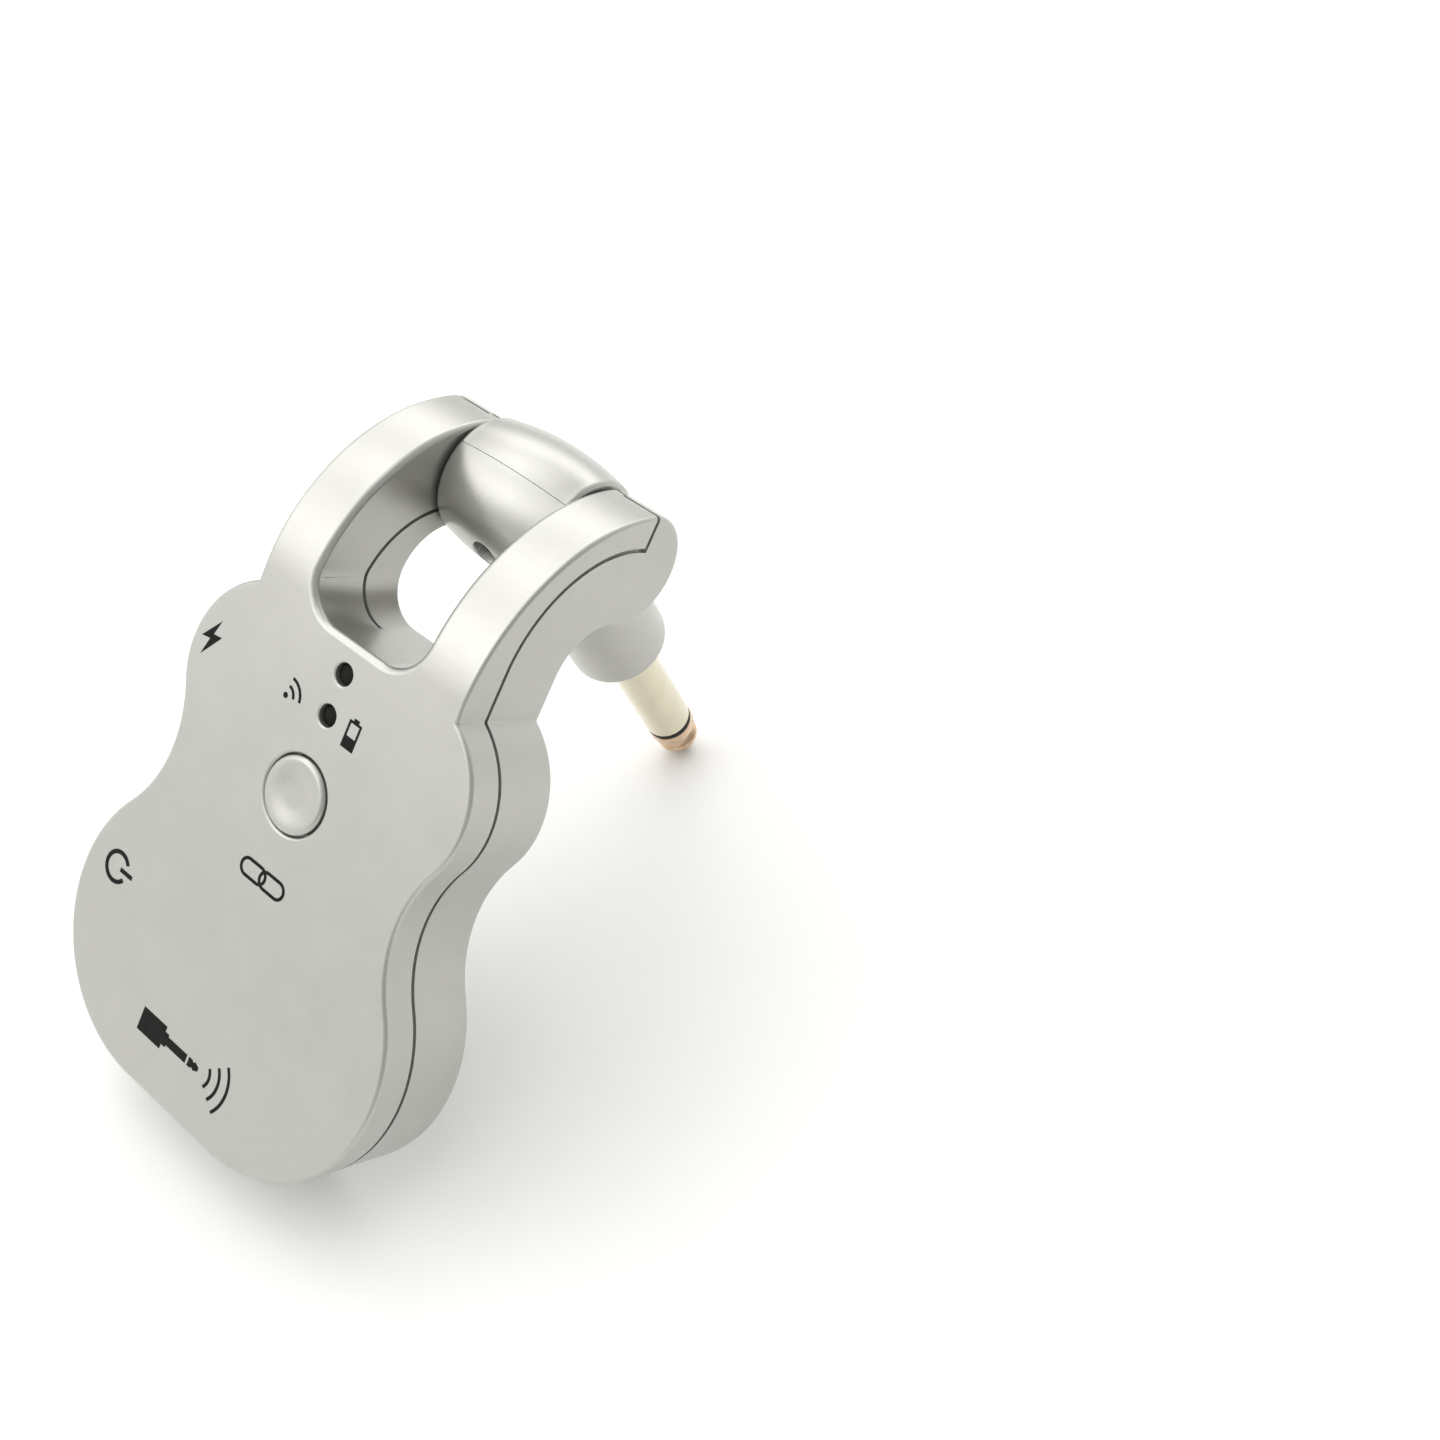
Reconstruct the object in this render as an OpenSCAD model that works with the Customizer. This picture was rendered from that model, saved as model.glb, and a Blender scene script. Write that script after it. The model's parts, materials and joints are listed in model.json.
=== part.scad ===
// Plug-in wireless guitar transmitter: a guitar-shaped case whose two arms curve back
// and carry a swivelling 6.35 mm jack plug.
// Everything is drawn in the case's own axes (x right, y up the case, z out of its face)
// and stood up by stand(), so that it leans on its rear bottom edge and on the plug's tip.

/* [Case] */
// Radius of the two lower corners of the face
lower_r = 18.0; // [17:0.1:19]
// Distance of the lower corners' centres from the middle line
lower_x = 7.5; // [7:0.1:8]
// Radius of the two upper shoulders
upper_r = 11.5; // [11:0.1:12]
// Distance of the shoulders' centres from the middle line
upper_x = 10.5; // [10:0.1:11]
// Height of the shoulders' centres
upper_y = 50.1; // [49.5:0.1:51]
// Radius of the hollow waist between them
waist_r = 15.9; // [15:0.1:17]
// Thickness of the case
case_d = 13.6; // [13:0.1:14.2]
// Wall thickness of both shells
wall = 1.5; // [1.3:0.1:1.7]
// Depth of the seam between the shells on the outer side
seam_d = 4.6; // [4.4:0.1:4.8]
// Depth of the seam on the walls of the window
window_seam_d = 7.6; // [7.2:0.1:8]

/* [Arms and window] */
// Half width over the two arms
arm_x = 15.9; // [15.6:0.1:16.2]
// Height where the arms start to curve back
arm_y = 62.4; // [62:0.1:62.8]
// Radius of the arms' outer face
arm_r = 23; // [22.5:0.1:23.5]
// Radius of the arms' round ends
cap_r = 6.6; // [6.5:0.1:6.8]
// Depth of the swivel's axis behind the face
swivel_depth = 19.8; // [19.6:0.1:20]
// Half width of the window between the arms
window_x = 8.7; // [8.6:0.1:8.9]
// Height of the window's lower edge
window_y = 60.8; // [60.4:0.1:61.2]
// Corner radius of the window
window_r = 4.8; // [4:0.1:5.4]

/* [Swivel and plug] */
// Radius of the barrel at its middle
barrel_mid_r = 8.1; // [7.8:0.1:8.3]
// Radius of the barrel at its ends
barrel_end_r = 7.1; // [6.9:0.1:7.4]
// Gap between each end of the barrel and its arm
barrel_gap = 0.3; // [0.2:0.05:0.4]
// Radius of the boss that holds the plug
boss_r = 6.3; // [6:0.1:6.4]
// Distance from the swivel's axis to the boss's face
boss_end = 32.3; // [31:0.1:33.5]
// Angle of the plug at rest, from the direction up the case
plug_angle = -120.5; // [-125:0.5:-116]
// Radius of the plug
plug_r = 3.175; // [3.175]
// Length of the plug outside the boss
plug_len = 31.1; // [30.5:0.1:31.7]

/* [Controls] */
// Height of the pairing button's centre
button_y = 42.3; // [42:0.1:43]
// Radius of the button's hole
button_hole_r = 4.6; // [4.5:0.05:4.7]
// Gap round the button
button_gap = 0.3; // [0.2:0.05:0.4]
// Heights of the two indicator holes
led_ys = [52.2, 57.2]; // [51:0.1:58]
// Radius of an indicator hole
led_hole_r = 1.25; // [1.15:0.05:1.35]
// Lower end of the power switch's opening
switch_y = 12.7; // [12.5:0.1:13]
// Length of the power switch's opening
switch_len = 13.9; // [13.5:0.1:14]
// Travel of the power switch
switch_travel = 2.0; // [1.8:0.1:2]
// Height of the charging port's centre
port_y = 48.9; // [48.5:0.1:49.2]

/* [Hidden] */
$fn = 64;

silver = [0.74, 0.73, 0.71];
dark = [0.10, 0.10, 0.10];
steel = [0.66, 0.66, 0.68];

// the arms curve about this line; their round ends are centred on the swivel's axis
arm_z = -arm_r;
axis_z = -swivel_depth;
cap_turn = asin((axis_z - arm_z) / (arm_r - cap_r));
axis_y = arm_y + (arm_r - cap_r) * cos(cap_turn);
// the arms' inner curve meets the round end beside the axis
crook_r = swivel_depth - case_d;
crook_y = axis_y - cap_r - crook_r;

// the waist circle touches the lower corner's circle and the shoulder's circle
lower_c = [lower_x, lower_r];
upper_c = [upper_x, upper_y];
centre_gap = norm(upper_c - lower_c);
lower_reach = lower_r + waist_r;
upper_reach = upper_r + waist_r;
along = (lower_reach ^ 2 - upper_reach ^ 2 + centre_gap ^ 2) / (2 * centre_gap);
across = sqrt(lower_reach ^ 2 - along ^ 2);
up_dir = (upper_c - lower_c) / centre_gap;
waist_c = lower_c + up_dir * along + [up_dir[1], -up_dir[0]] * across;
lower_end = atan2(waist_c[1] - lower_c[1], waist_c[0] - lower_c[0]);
upper_start = atan2(upper_c[1] - waist_c[1], upper_c[0] - waist_c[0]) - 180;

// inside the case
board_t = 1.0;
board_front = -6.3;
board_rear = board_front - board_t;
inner_rear = wall - case_d;
screw_posts = [[-12, 6.5], [12, 6.5], [-15.8, 56.2], [15.8, 56.2]];
front_post_r = 2.2;
rear_post_r = 3.1;
screw_head_r = 1.9;
counterbore_floor = -10.6;
port_z = -4.7;
port_half = [4.6, 1.7];
switch_z = [-8.4, -2.9];
switch_body_x = [-20.4, -16.8];
switch_body_y = [14.3, 23.1];
knob_gap = 0.2;
knob_inner_x = -21.3;
knob_flange_x = -22.4;
knob_flange_y = [13.5, 22.5];
knob_flange_z = [-9.4, -1.9];
rib_first = 2.35;
rib_pitch = 2.45;
rib_half = 0.45;
slider_y = 16.9;
slider_z = -5.5;
slider_side = 1.5;
battery_size = [26, 32];
battery_h = 3.8;
battery_at = [0, 29];
pad_size = [22, 27];
pad_h = 0.5;
button_r = button_hole_r - button_gap;
button_flange_z = -2.3;
plunger_r = 1.7;
plunger_top = -2.9;
plunger_h = 1.7;

// the swivel, along its own axis
barrel_h = window_x - barrel_gap;
axle_r = 2.5;
slide_gap = 0.05;
bush_r = 3.5;
hollow_r = 5.2;
hollow_half = 6.2;
axle_bore_r = 1.6;
washer_x = 11.65;
clip_x = 12.35;
clip_t = 0.5;
groove_r = 2.1;
axle_end_x = 13.1;
plug_end = boss_end + plug_len;
ring_back = plug_end - 8.6;
ring_front = plug_end - 7.6;
sleeve_bore_r = 2.3;
rod_r = 1.2;
rod_end = 17.5;
nose_r = 1.0;
nose_c = 0.75;
ball_r = 2.85;
ball_edge_r = 0.7;
ball_back = 3.1;
boss_bore_r = 4.6;
boss_bore_from = 2.0;
boss_floor = 2.0;
boss_hole_r = 3.4;
flange_z = 27.5;
post_z = -1.0;
barrel_screw_r = 1.7;
barrel_screw_y = 3.4;
// the boss is turned by this much, so that its seam lies off the split of the barrel
seam_turn = 30;
lead_r = 0.5;
lead_joint_x = 11;

// the lean: the table touches the rear bottom edge and the rounding of the plug's nose
plug_dir = [cos(plug_angle), sin(plug_angle)];
down_dir = [cos(plug_angle - 90), sin(plug_angle - 90)];
nose_at = [axis_y, axis_z] + plug_dir * (plug_end - nose_r) + down_dir * nose_c;
foot_gap = norm(nose_at - [0, -case_d]);
lean = 90 - atan2(nose_at[0], -case_d - nose_at[1]) + asin(nose_r / foot_gap);
lift = case_d * cos(lean);
ball_at = [axis_y, axis_z] + plug_dir * (plug_end - ball_back) - down_dir * (ball_r - ball_edge_r);
row_depth = ball_at[0] * cos(lean) - ball_at[1] * sin(lean) + ball_edge_r;

// ---- shared shapes

function arc(c, r, from, to, steps = 12) =
    [for (i = [0 : steps]) c + r * [cos(from + (to - from) * i / steps), sin(from + (to - from) * i / steps)]];

function mirrored(points) = [for (i = [len(points) - 1 : -1 : 0]) [-points[i][0], points[i][1]]];

// right half of the face's outline, moved in by d; its top is cut off by the side outline
function face_side(d, top = 92) =
    let (neck = arm_x - d, r = upper_r - d)
    concat(
        arc(lower_c, lower_r - d, -90, lower_end, 26),
        arc(waist_c, waist_r + d, lower_end + 180, upper_start + 180, 12),
        arc(upper_c, r, upper_start, acos((neck - upper_x) / r), 18),
        [[neck, top]]);

module face_outline(d = 0) {
    side = face_side(d);
    polygon(concat(side, mirrored(side)));
}

module window_outline(d = 0, top = 95) {
    x = window_x + d;
    y = window_y - d;
    r = window_r + d;
    polygon(concat(
        [[x, top]], arc([x - r, y + r], r, 0, -90), arc([r - x, y + r], r, -90, -180), [[-x, top]]));
}

// the case seen from its side, as [y, z], moved in by d
module side_outline(d = 0) {
    polygon(concat(
        [[d, -d]],
        arc([arm_y, arm_z], arm_r - d, 90, cap_turn, 24),
        arc([axis_y, axis_z], cap_r - d, cap_turn, -180, 18),
        arc([crook_y, axis_z], crook_r + d, 0, 90, 12),
        [[d, d - case_d]]));
}

// extrudes a [y, z] outline along x, over the width w
module along_x(w) {
    rotate([90, 0, 90])
        linear_extrude(w, center = true)
            children();
}

module case_solid(d = 0) {
    difference() {
        intersection() {
            translate([0, 0, -45])
                linear_extrude(50)
                    face_outline(d);
            along_x(60)
                side_outline(d);
        }
        translate([0, 0, -50])
            linear_extrude(60)
                window_outline(d);
    }
}

// everything in front of the seam on the outer sides; it turns outwards at the arms' ends
module outer_seam_zone() {
    centre = [66.1, -19.6];
    along_x(70)
        polygon(concat(
            [[-5, 5], [-5, -seam_d]],
            arc(centre, -centre[1] - seam_d, 90, 1, 20),
            [[95, centre[1] + 0.3], [95, 5]]));
}

// everything in front of the seam on the window's walls; it passes through the swivel's axis
module window_seam_zone() {
    centre = [63.1, -18.6];
    along_x(70)
        polygon(concat(
            [[-5, 5], [-5, -window_seam_d]],
            arc(centre, -centre[1] - window_seam_d, 80, 8, 14),
            [[axis_y - bush_r - 1, axis_z], [95, axis_z], [95, 5]]));
}

module window_walls() {
    translate([0, 0, -50])
        linear_extrude(60)
            window_outline(wall + 0.3);
}

module front_zone() {
    difference() {
        outer_seam_zone();
        window_walls();
    }
    intersection() {
        window_seam_zone();
        window_walls();
    }
}

module shell_wall() {
    difference() {
        case_solid();
        case_solid(wall);
    }
}

module slot_bar(half, h) {
    flat = half[0] - half[1];
    linear_extrude(h)
        square([2 * flat, 2 * half[1]], center = true);
    for (side = [-1, 1])
        translate([side * flat, 0, 0])
            cylinder(r = half[1], h = h);
}

// a bar along -x at the charging port, starting at x = from
module port_bar(half, from, h) {
    translate([from, port_y, port_z])
        rotate([0, -90, 0])
            rotate([0, 0, 90])
                slot_bar(half, h);
}

module bar_between(low, high) {
    translate(low)
        cube(high - low);
}

module rounded_plate(size, r, h) {
    linear_extrude(h) {
        square([size[0], size[1] - 2 * r], center = true);
        square([size[0] - 2 * r, size[1]], center = true);
        for (x = [-1, 1], y = [-1, 1])
            translate([x * (size[0] / 2 - r), y * (size[1] / 2 - r)])
                circle(r);
    }
}

module switch_opening() {
    bar_between([-27, switch_y, switch_z[0]], [-20, switch_y + switch_len, switch_z[1]]);
}

// both arms' seats for the swivel's bushes
module bush_seats() {
    for (side = [-1, 1])
        translate([side * (window_x + wall / 2), axis_y, axis_z])
            rotate([0, 90, 0])
                cylinder(r = bush_r, h = wall + 0.6, center = true);
}

module stand() {
    translate([0, -row_depth / 2, lift])
        rotate([lean, 0, 0])
            children();
}

// swivel's own axes: x along the axle, z along the plug, y towards the barrel's cover
module at_swivel() {
    stand()
        translate([0, axis_y, axis_z])
            rotate([plug_angle - 90, 0, 0])
                children();
}

// ---- case

module front_shell() {
    color(silver)
        stand()
            difference() {
                union() {
                    intersection() {
                        shell_wall();
                        front_zone();
                    }
                    for (p = screw_posts)
                        translate([p[0], p[1], board_front])
                            cylinder(r = front_post_r, h = -board_front - wall + 0.3);
                }
                for (p = screw_posts)
                    translate([p[0], p[1], board_front - 1])
                        cylinder(r = 0.85, h = 5);
                translate([0, button_y, -3])
                    cylinder(r = button_hole_r, h = 5);
                for (y = led_ys)
                    translate([0, y, -3])
                        cylinder(r = led_hole_r, h = 5);
                port_bar(port_half, -18, 8);
                switch_opening();
                pry_notch();
                bush_seats();
            }
}

// a short slot beside the seam at the waist, where the shells are prised apart
module pry_notch() {
    bar_between([-21, 38.6, -seam_d - 0.1], [-18.4, 41.4, -3.8]);
}

module rear_shell() {
    color(silver)
        stand()
            difference() {
                union() {
                    difference() {
                        shell_wall();
                        front_zone();
                    }
                    for (p = screw_posts)
                        translate([p[0], p[1], inner_rear - 0.3])
                            cylinder(r = rear_post_r, h = board_rear - inner_rear + 0.3);
                }
                for (p = screw_posts)
                    translate([p[0], p[1], -case_d - 1]) {
                        cylinder(r = 1.15, h = 9);
                        cylinder(r = screw_head_r + 0.2, h = counterbore_floor + case_d + 1);
                    }
                port_bar(port_half, -18, 8);
                switch_opening();
                bush_seats();
            }
}

module case_screws() {
    head_h = 1.4;
    color(steel)
        stand()
            for (p = screw_posts)
                translate([p[0], p[1], counterbore_floor])
                    difference() {
                        union() {
                            cylinder(r = 0.8, h = 8);
                            translate([0, 0, -head_h])
                                cylinder(r1 = screw_head_r - 0.4, r2 = screw_head_r, h = head_h);
                        }
                        for (turn = [0, 90])
                            rotate([0, 0, turn])
                                bar_between([-1.1, -0.25, -head_h - 1], [1.1, 0.25, -0.6]);
                    }
}

module circuit_board() {
    color([0.05, 0.25, 0.15])
        stand()
            difference() {
                translate([0, 0, board_rear])
                    linear_extrude(board_t)
                        intersection() {
                            face_outline(2.2);
                            translate([-24, 3])
                                square([48, 55.4]);
                        }
                for (p = screw_posts)
                    translate([p[0], p[1], board_rear - 1])
                        cylinder(r = 1.15, h = 3);
                bar_between([-26, switch_y - 1, board_rear - 1], [-20.9, switch_y + switch_len + 1, 0]);
            }
}

// a foil pouch with its sealed edge and protection board at the top
module battery_cell() {
    seal_x = 11;
    seal_y = 2.0;
    seal_z = [1.9, 3.5];
    color([0.72, 0.74, 0.78])
        stand()
            translate([battery_at[0], battery_at[1], inner_rear + pad_h]) {
                rounded_plate(battery_size, 1.5, battery_h);
                translate([0, battery_size[1] / 2, 0])
                    bar_between([-seal_x, -0.5, seal_z[0]], [seal_x, seal_y, seal_z[1]]);
            }
}

module battery_pad() {
    color(dark)
        stand()
            translate([battery_at[0], battery_at[1], inner_rear])
                rounded_plate(pad_size, 1, pad_h);
}

// a flat connector shell with a tongue in its mouth, on a foot that stands on the board
module charging_port() {
    shell = [4.4, 1.5];
    mouth = [4.1, 1.2];
    back_x = -13.2;
    shell_len = 7.0;
    floor_t = 1.0;
    foot_x = [-19.0, -14.0];
    foot_half = 3.6;
    tongue_x = [-19.4, -14.0];
    tongue_half = [3.3, 0.35];
    color(steel)
        stand()
            difference() {
                union() {
                    port_bar(shell, back_x, shell_len);
                    bar_between([foot_x[0], port_y - foot_half, board_front],
                        [foot_x[1], port_y + foot_half, port_z]);
                }
                difference() {
                    port_bar(mouth, back_x - floor_t, shell_len);
                    bar_between([tongue_x[0], port_y - tongue_half[0], port_z - tongue_half[1]],
                        [tongue_x[1], port_y + tongue_half[0], port_z + tongue_half[1]]);
                }
            }
}

// a tact switch, open at the top for its plunger
module pair_switch() {
    side = 6.2;
    plunger_room = 0.5;
    color(dark)
        stand()
            difference() {
                translate([0, button_y, board_front])
                    rounded_plate([side, side], 0.6, 3.0);
                translate([0, button_y, plunger_top - plunger_h - plunger_room])
                    cylinder(r = plunger_r + slide_gap, h = 4);
            }
}

// a slide switch, open towards the case's side for its slider
module power_switch() {
    room = 0.1;
    color(steel)
        stand()
            difference() {
                bar_between([switch_body_x[0], switch_body_y[0], board_front],
                    [switch_body_x[1], switch_body_y[1], switch_z[1]]);
                bar_between([switch_body_x[0] - 1, slider_y - room, slider_z - room],
                    [switch_body_x[0] + 1.2, slider_y + slider_side + switch_travel + room,
                    slider_z + slider_side + room]);
            }
}

module led_package(y) {
    base = [2.0, 1.6, 0.5];
    lens = [1.4, 1.4, 0.35];
    translate([-base[0] / 2, y - base[1] / 2, board_front])
        cube(base);
    translate([-lens[0] / 2, y - lens[1] / 2, board_front + base[2]])
        cube(lens);
}

module signal_led() {
    color([0.75, 0.85, 0.95])
        stand()
            led_package(led_ys[1]);
}

module battery_led() {
    color([0.75, 0.85, 0.95])
        stand()
            led_package(led_ys[0]);
}

// two smoked pipes from the lamps to their holes, each with a collar under the front wall
module light_pipes() {
    pipe_rear = -5.3;
    pipe_len = 4.5;
    collar_from = 3.0;
    collar_h = 0.8;
    color([0.18, 0.18, 0.17])
        stand()
            for (y = led_ys)
                translate([0, y, pipe_rear]) {
                    cylinder(r = led_hole_r - slide_gap, h = pipe_len);
                    translate([0, 0, collar_from])
                        cylinder(r = 1.9, h = collar_h);
                }
}

// a small board with its shield can
module radio_module() {
    base = [14, 16];
    base_t = 0.8;
    can = [12.6, 11.6];
    can_h = 1.4;
    color([0.70, 0.71, 0.72])
        stand()
            translate([9, 26, board_front]) {
                rounded_plate(base, 0.4, base_t);
                translate([0, -1, base_t])
                    rounded_plate(can, 0.6, can_h);
            }
}

// a square package with seven legs on two of its sides
module audio_chip() {
    side = 7;
    leg = [1.2, 0.4, 0.4];
    leg_pitch = 0.85;
    standoff = 0.15;
    color(dark)
        stand()
            translate([-6, 27, board_front]) {
                translate([0, 0, standoff])
                    rounded_plate([side, side], 0.2, 1.0);
                for (end = [-1, 1], i = [-3 : 3])
                    translate([end * (side / 2 + 0.4), i * leg_pitch, leg[2] / 2])
                        cube(leg, center = true);
            }
}

module charger_chip() {
    side = 4;
    color(dark)
        stand()
            translate([-8.5, port_y, board_front])
                rounded_plate([side, side], 0.2, 0.9);
}

module chip_antenna() {
    size = [9, 3];
    color([0.85, 0.85, 0.80])
        stand()
            translate([2, 8.5, board_front])
                rounded_plate(size, 0.2, 1.0);
}

// a flanged sleeve in each arm's inner wall
module bush(side) {
    sleeve_len = 2.9;
    flange_r = 4.6;
    flange_t = 0.8;
    stand()
        translate([0, axis_y, axis_z])
            rotate([0, side * 90, 0])
                difference() {
                    union() {
                        translate([0, 0, window_x])
                            cylinder(r = bush_r, h = sleeve_len);
                        translate([0, 0, window_x + wall])
                            cylinder(r = flange_r, h = flange_t);
                    }
                    translate([0, 0, window_x - 1])
                        cylinder(r = axle_r + slide_gap, h = 6);
                }
}

module bush_left() {
    color([0.92, 0.91, 0.86])
        bush(-1);
}

module bush_right() {
    color([0.92, 0.91, 0.86])
        bush(1);
}

function unit(v) = v / norm(v);

// direction of the path at its point i
function heading(path, i) =
    unit(path[min(i + 1, len(path) - 1)] - path[max(i - 1, 0)]);

// an eight-sided wire along the path; side_on is any direction that the path never takes
module wire(path, r, side_on) {
    sides = 8;
    rings = len(path);
    points = [for (i = [0 : rings - 1])
        let (u = unit(cross(heading(path, i), side_on)), v = cross(heading(path, i), u))
        for (k = [0 : sides - 1])
            path[i] + r * (cos(k * 360 / sides) * u + sin(k * 360 / sides) * v)];
    walls = [for (i = [0 : rings - 2], k = [0 : sides - 1], half = [0, 1])
        let (a = i * sides, b = a + sides, next = (k + 1) % sides)
        half == 0 ? [a + k, a + next, b + next] : [a + k, b + next, b + k]];
    first_end = [for (k = [sides - 1 : -1 : 0]) k];
    last_end = [for (k = [0 : sides - 1]) (rings - 1) * sides + k];
    polyhedron(points, concat([first_end], walls, [last_end]), convexity = 4);
}

// the screened lead from the board, up the left arm and into the hollow axle
module case_lead() {
    color([0.15, 0.15, 0.16])
        stand()
            wire([[-12.3, 57, board_front], [-12.3, 57.1, -5.4], [-12.3, 57.7, -4.5], [-12.3, 59, -4.1],
                [-12.4, 66, -4.2], [-12.6, 70.5, -5.2], [-13.0, 74.4, -7.9], [-13.5, 77.4, -11.6],
                [-13.8, 78.5, -15.2], [-13.8, axis_y, axis_z + 1.9], [-13.5, axis_y, axis_z + 0.6],
                [-12.7, axis_y, axis_z], [-lead_joint_x - 0.02, axis_y, axis_z]], lead_r, [1, -0.6, 0.8]);
}

// ---- pairing button

// a low dome with a shallow dish in it, held by a flange under the front wall
module pair_button() {
    dome_r = 30;
    dish_r = 16;
    dish_depth = 0.35;
    top = 0.45;
    flange_t = 0.6;
    color(silver)
        stand()
            translate([0, button_y, 0])
                difference() {
                    union() {
                        intersection() {
                            translate([0, 0, button_flange_z + flange_t])
                                cylinder(r = button_r, h = 4);
                            translate([0, 0, top - dome_r])
                                sphere(dome_r, $fn = 128);
                        }
                        translate([0, 0, button_flange_z])
                            cylinder(r = button_hole_r + 0.8, h = flange_t);
                        translate([0, 0, plunger_top])
                            cylinder(r = plunger_r - 0.1, h = 1);
                    }
                    translate([0, 0, top - dish_depth + dish_r])
                        sphere(dish_r, $fn = 128);
                }
}

module pair_plunger() {
    color([0.15, 0.15, 0.15])
        stand()
            translate([0, button_y, plunger_top - plunger_h])
                cylinder(r = plunger_r, h = plunger_h);
}

// ---- power switch

// a knob with four ribs that fills its opening's width, with a flange inside the case
module power_knob() {
    knob_y = switch_y + knob_gap;
    knob_len = switch_len - switch_travel - 2 * knob_gap;
    knob_inset = 0.25;
    rib_inset = -0.05;
    rib_margin = 0.6;
    color(silver)
        stand()
            difference() {
                union() {
                    intersection() {
                        bar_between([-27, knob_y, switch_z[0] + knob_gap],
                            [knob_inner_x, knob_y + knob_len, switch_z[1] - knob_gap]);
                        translate([0, 0, -20])
                            linear_extrude(25)
                                face_outline(knob_inset);
                    }
                    for (i = [0 : 3])
                        intersection() {
                            translate([0, knob_y + rib_first + i * rib_pitch, 0])
                                bar_between([-27, -rib_half, switch_z[0] + rib_margin],
                                    [knob_inner_x, rib_half, switch_z[1] - rib_margin]);
                            translate([0, 0, -20])
                                linear_extrude(25)
                                    face_outline(rib_inset);
                        }
                    bar_between([knob_flange_x, knob_flange_y[0], knob_flange_z[0]],
                        [knob_inner_x, knob_flange_y[1], knob_flange_z[1]]);
                }
                bar_between([knob_flange_x + 0.1, slider_y, slider_z - slide_gap],
                    [-20, slider_y + slider_side, slider_z + slider_side + slide_gap]);
            }
}

module switch_slider() {
    tip_x = switch_body_x[0] + 1;
    color(dark)
        stand()
            bar_between([knob_flange_x + 0.1, slider_y, slider_z],
                [tip_x, slider_y + slider_side, slider_z + slider_side]);
}

// ---- swivel and plug

// one lengthwise half of the crowned barrel, along x, on the side y > 0
module half_barrel() {
    rise = barrel_mid_r - barrel_end_r;
    crown_r = (barrel_h ^ 2 + rise ^ 2) / (2 * rise);
    half_turn = asin(barrel_h / crown_r);
    side = arc([barrel_mid_r - crown_r, 0], crown_r, -half_turn, half_turn, 14);
    rotate([0, 90, 0])
        rotate_extrude(angle = 180, $fn = 96)
            polygon(concat([[0, -barrel_h]], side, [[0, barrel_h]]));
}

module barrel_hollow() {
    rotate([0, 90, 0])
        cylinder(r = hollow_r, h = 2 * hollow_half, center = true);
}

module axle_seats() {
    rotate([0, 90, 0])
        cylinder(r = axle_r, h = 30, center = true);
}

// the barrel's half with the boss that holds the plug, and the post of the cover's screw
module barrel_body() {
    rim = 0.9;
    post_r = 1.9;
    color(silver)
        at_swivel()
            difference() {
                union() {
                    difference() {
                        union() {
                            rotate([180, 0, 0])
                                half_barrel();
                            rotate([0, 0, seam_turn])
                                rotate_extrude($fn = 96)
                                    polygon(concat([[0, 0], [boss_r, 0]],
                                        arc([boss_r - rim, boss_end - rim], rim, 0, 90, 8),
                                        [[0, boss_end]]));
                        }
                        barrel_hollow();
                    }
                    translate([0, -0.3, post_z])
                        rotate([90, 0, 0])
                            cylinder(r = post_r, h = 5.6);
                }
                axle_seats();
                translate([0, 0, boss_bore_from])
                    cylinder(r = boss_bore_r, h = boss_end - boss_floor - boss_bore_from);
                translate([0, 0, boss_end - 2 * boss_floor])
                    cylinder(r = boss_hole_r, h = 3 * boss_floor);
                translate([0, 1, post_z])
                    rotate([90, 0, 0])
                        cylinder(r = 0.75, h = 5.5);
            }
}

// the other half, cut round the boss and held by one sunk screw
module barrel_cover() {
    screw_post_r = 2.6;
    color(silver)
        at_swivel()
            difference() {
                union() {
                    difference() {
                        half_barrel();
                        barrel_hollow();
                    }
                    translate([0, 0, post_z])
                        rotate([-90, 0, 0])
                            cylinder(r = screw_post_r, h = 6);
                }
                axle_seats();
                translate([0, 0, -0.2])
                    rotate([0, 0, seam_turn])
                        cylinder(r = boss_r + slide_gap, h = 20);
                translate([0, -1, post_z])
                    rotate([-90, 0, 0])
                        cylinder(r = 1.0, h = 12);
                translate([0, barrel_screw_y, post_z])
                    rotate([-90, 0, 0])
                        cylinder(r = barrel_screw_r + 0.2, h = 12);
            }
}

module barrel_screw() {
    head_h = 1.3;
    shank_r = 0.7;
    shank_len = 7.4;
    cross = [0.9, 0.22];
    color(steel)
        at_swivel()
            translate([0, barrel_screw_y, post_z])
                rotate([-90, 0, 0])
                    difference() {
                        union() {
                            cylinder(r1 = barrel_screw_r, r2 = barrel_screw_r - 0.3, h = head_h);
                            translate([0, 0, -shank_len])
                                cylinder(r = shank_r, h = shank_len + 0.1);
                        }
                        for (turn = [0, 90])
                            rotate([0, 0, turn])
                                bar_between([-cross[0], -cross[1], head_h / 2], [cross[0], cross[1], 3]);
                    }
}

// a hollow steel axle, clamped in the barrel's end wall and turning in the arm's bush
module axle(side) {
    from_x = hollow_half - 1.0;
    head_r = 3.4;
    at_swivel()
        rotate([0, side * 90, 0])
            difference() {
                union() {
                    translate([0, 0, from_x])
                        cylinder(r = axle_r, h = axle_end_x - from_x);
                    translate([0, 0, from_x])
                        cylinder(r = head_r, h = hollow_half - from_x);
                }
                translate([0, 0, 4])
                    cylinder(r = axle_bore_r, h = 12);
                translate([0, 0, clip_x])
                    difference() {
                        cylinder(r = 4, h = clip_t);
                        translate([0, 0, -1])
                            cylinder(r = groove_r, h = 3);
                    }
            }
}

module axle_left() {
    color(steel)
        axle(-1);
}

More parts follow.
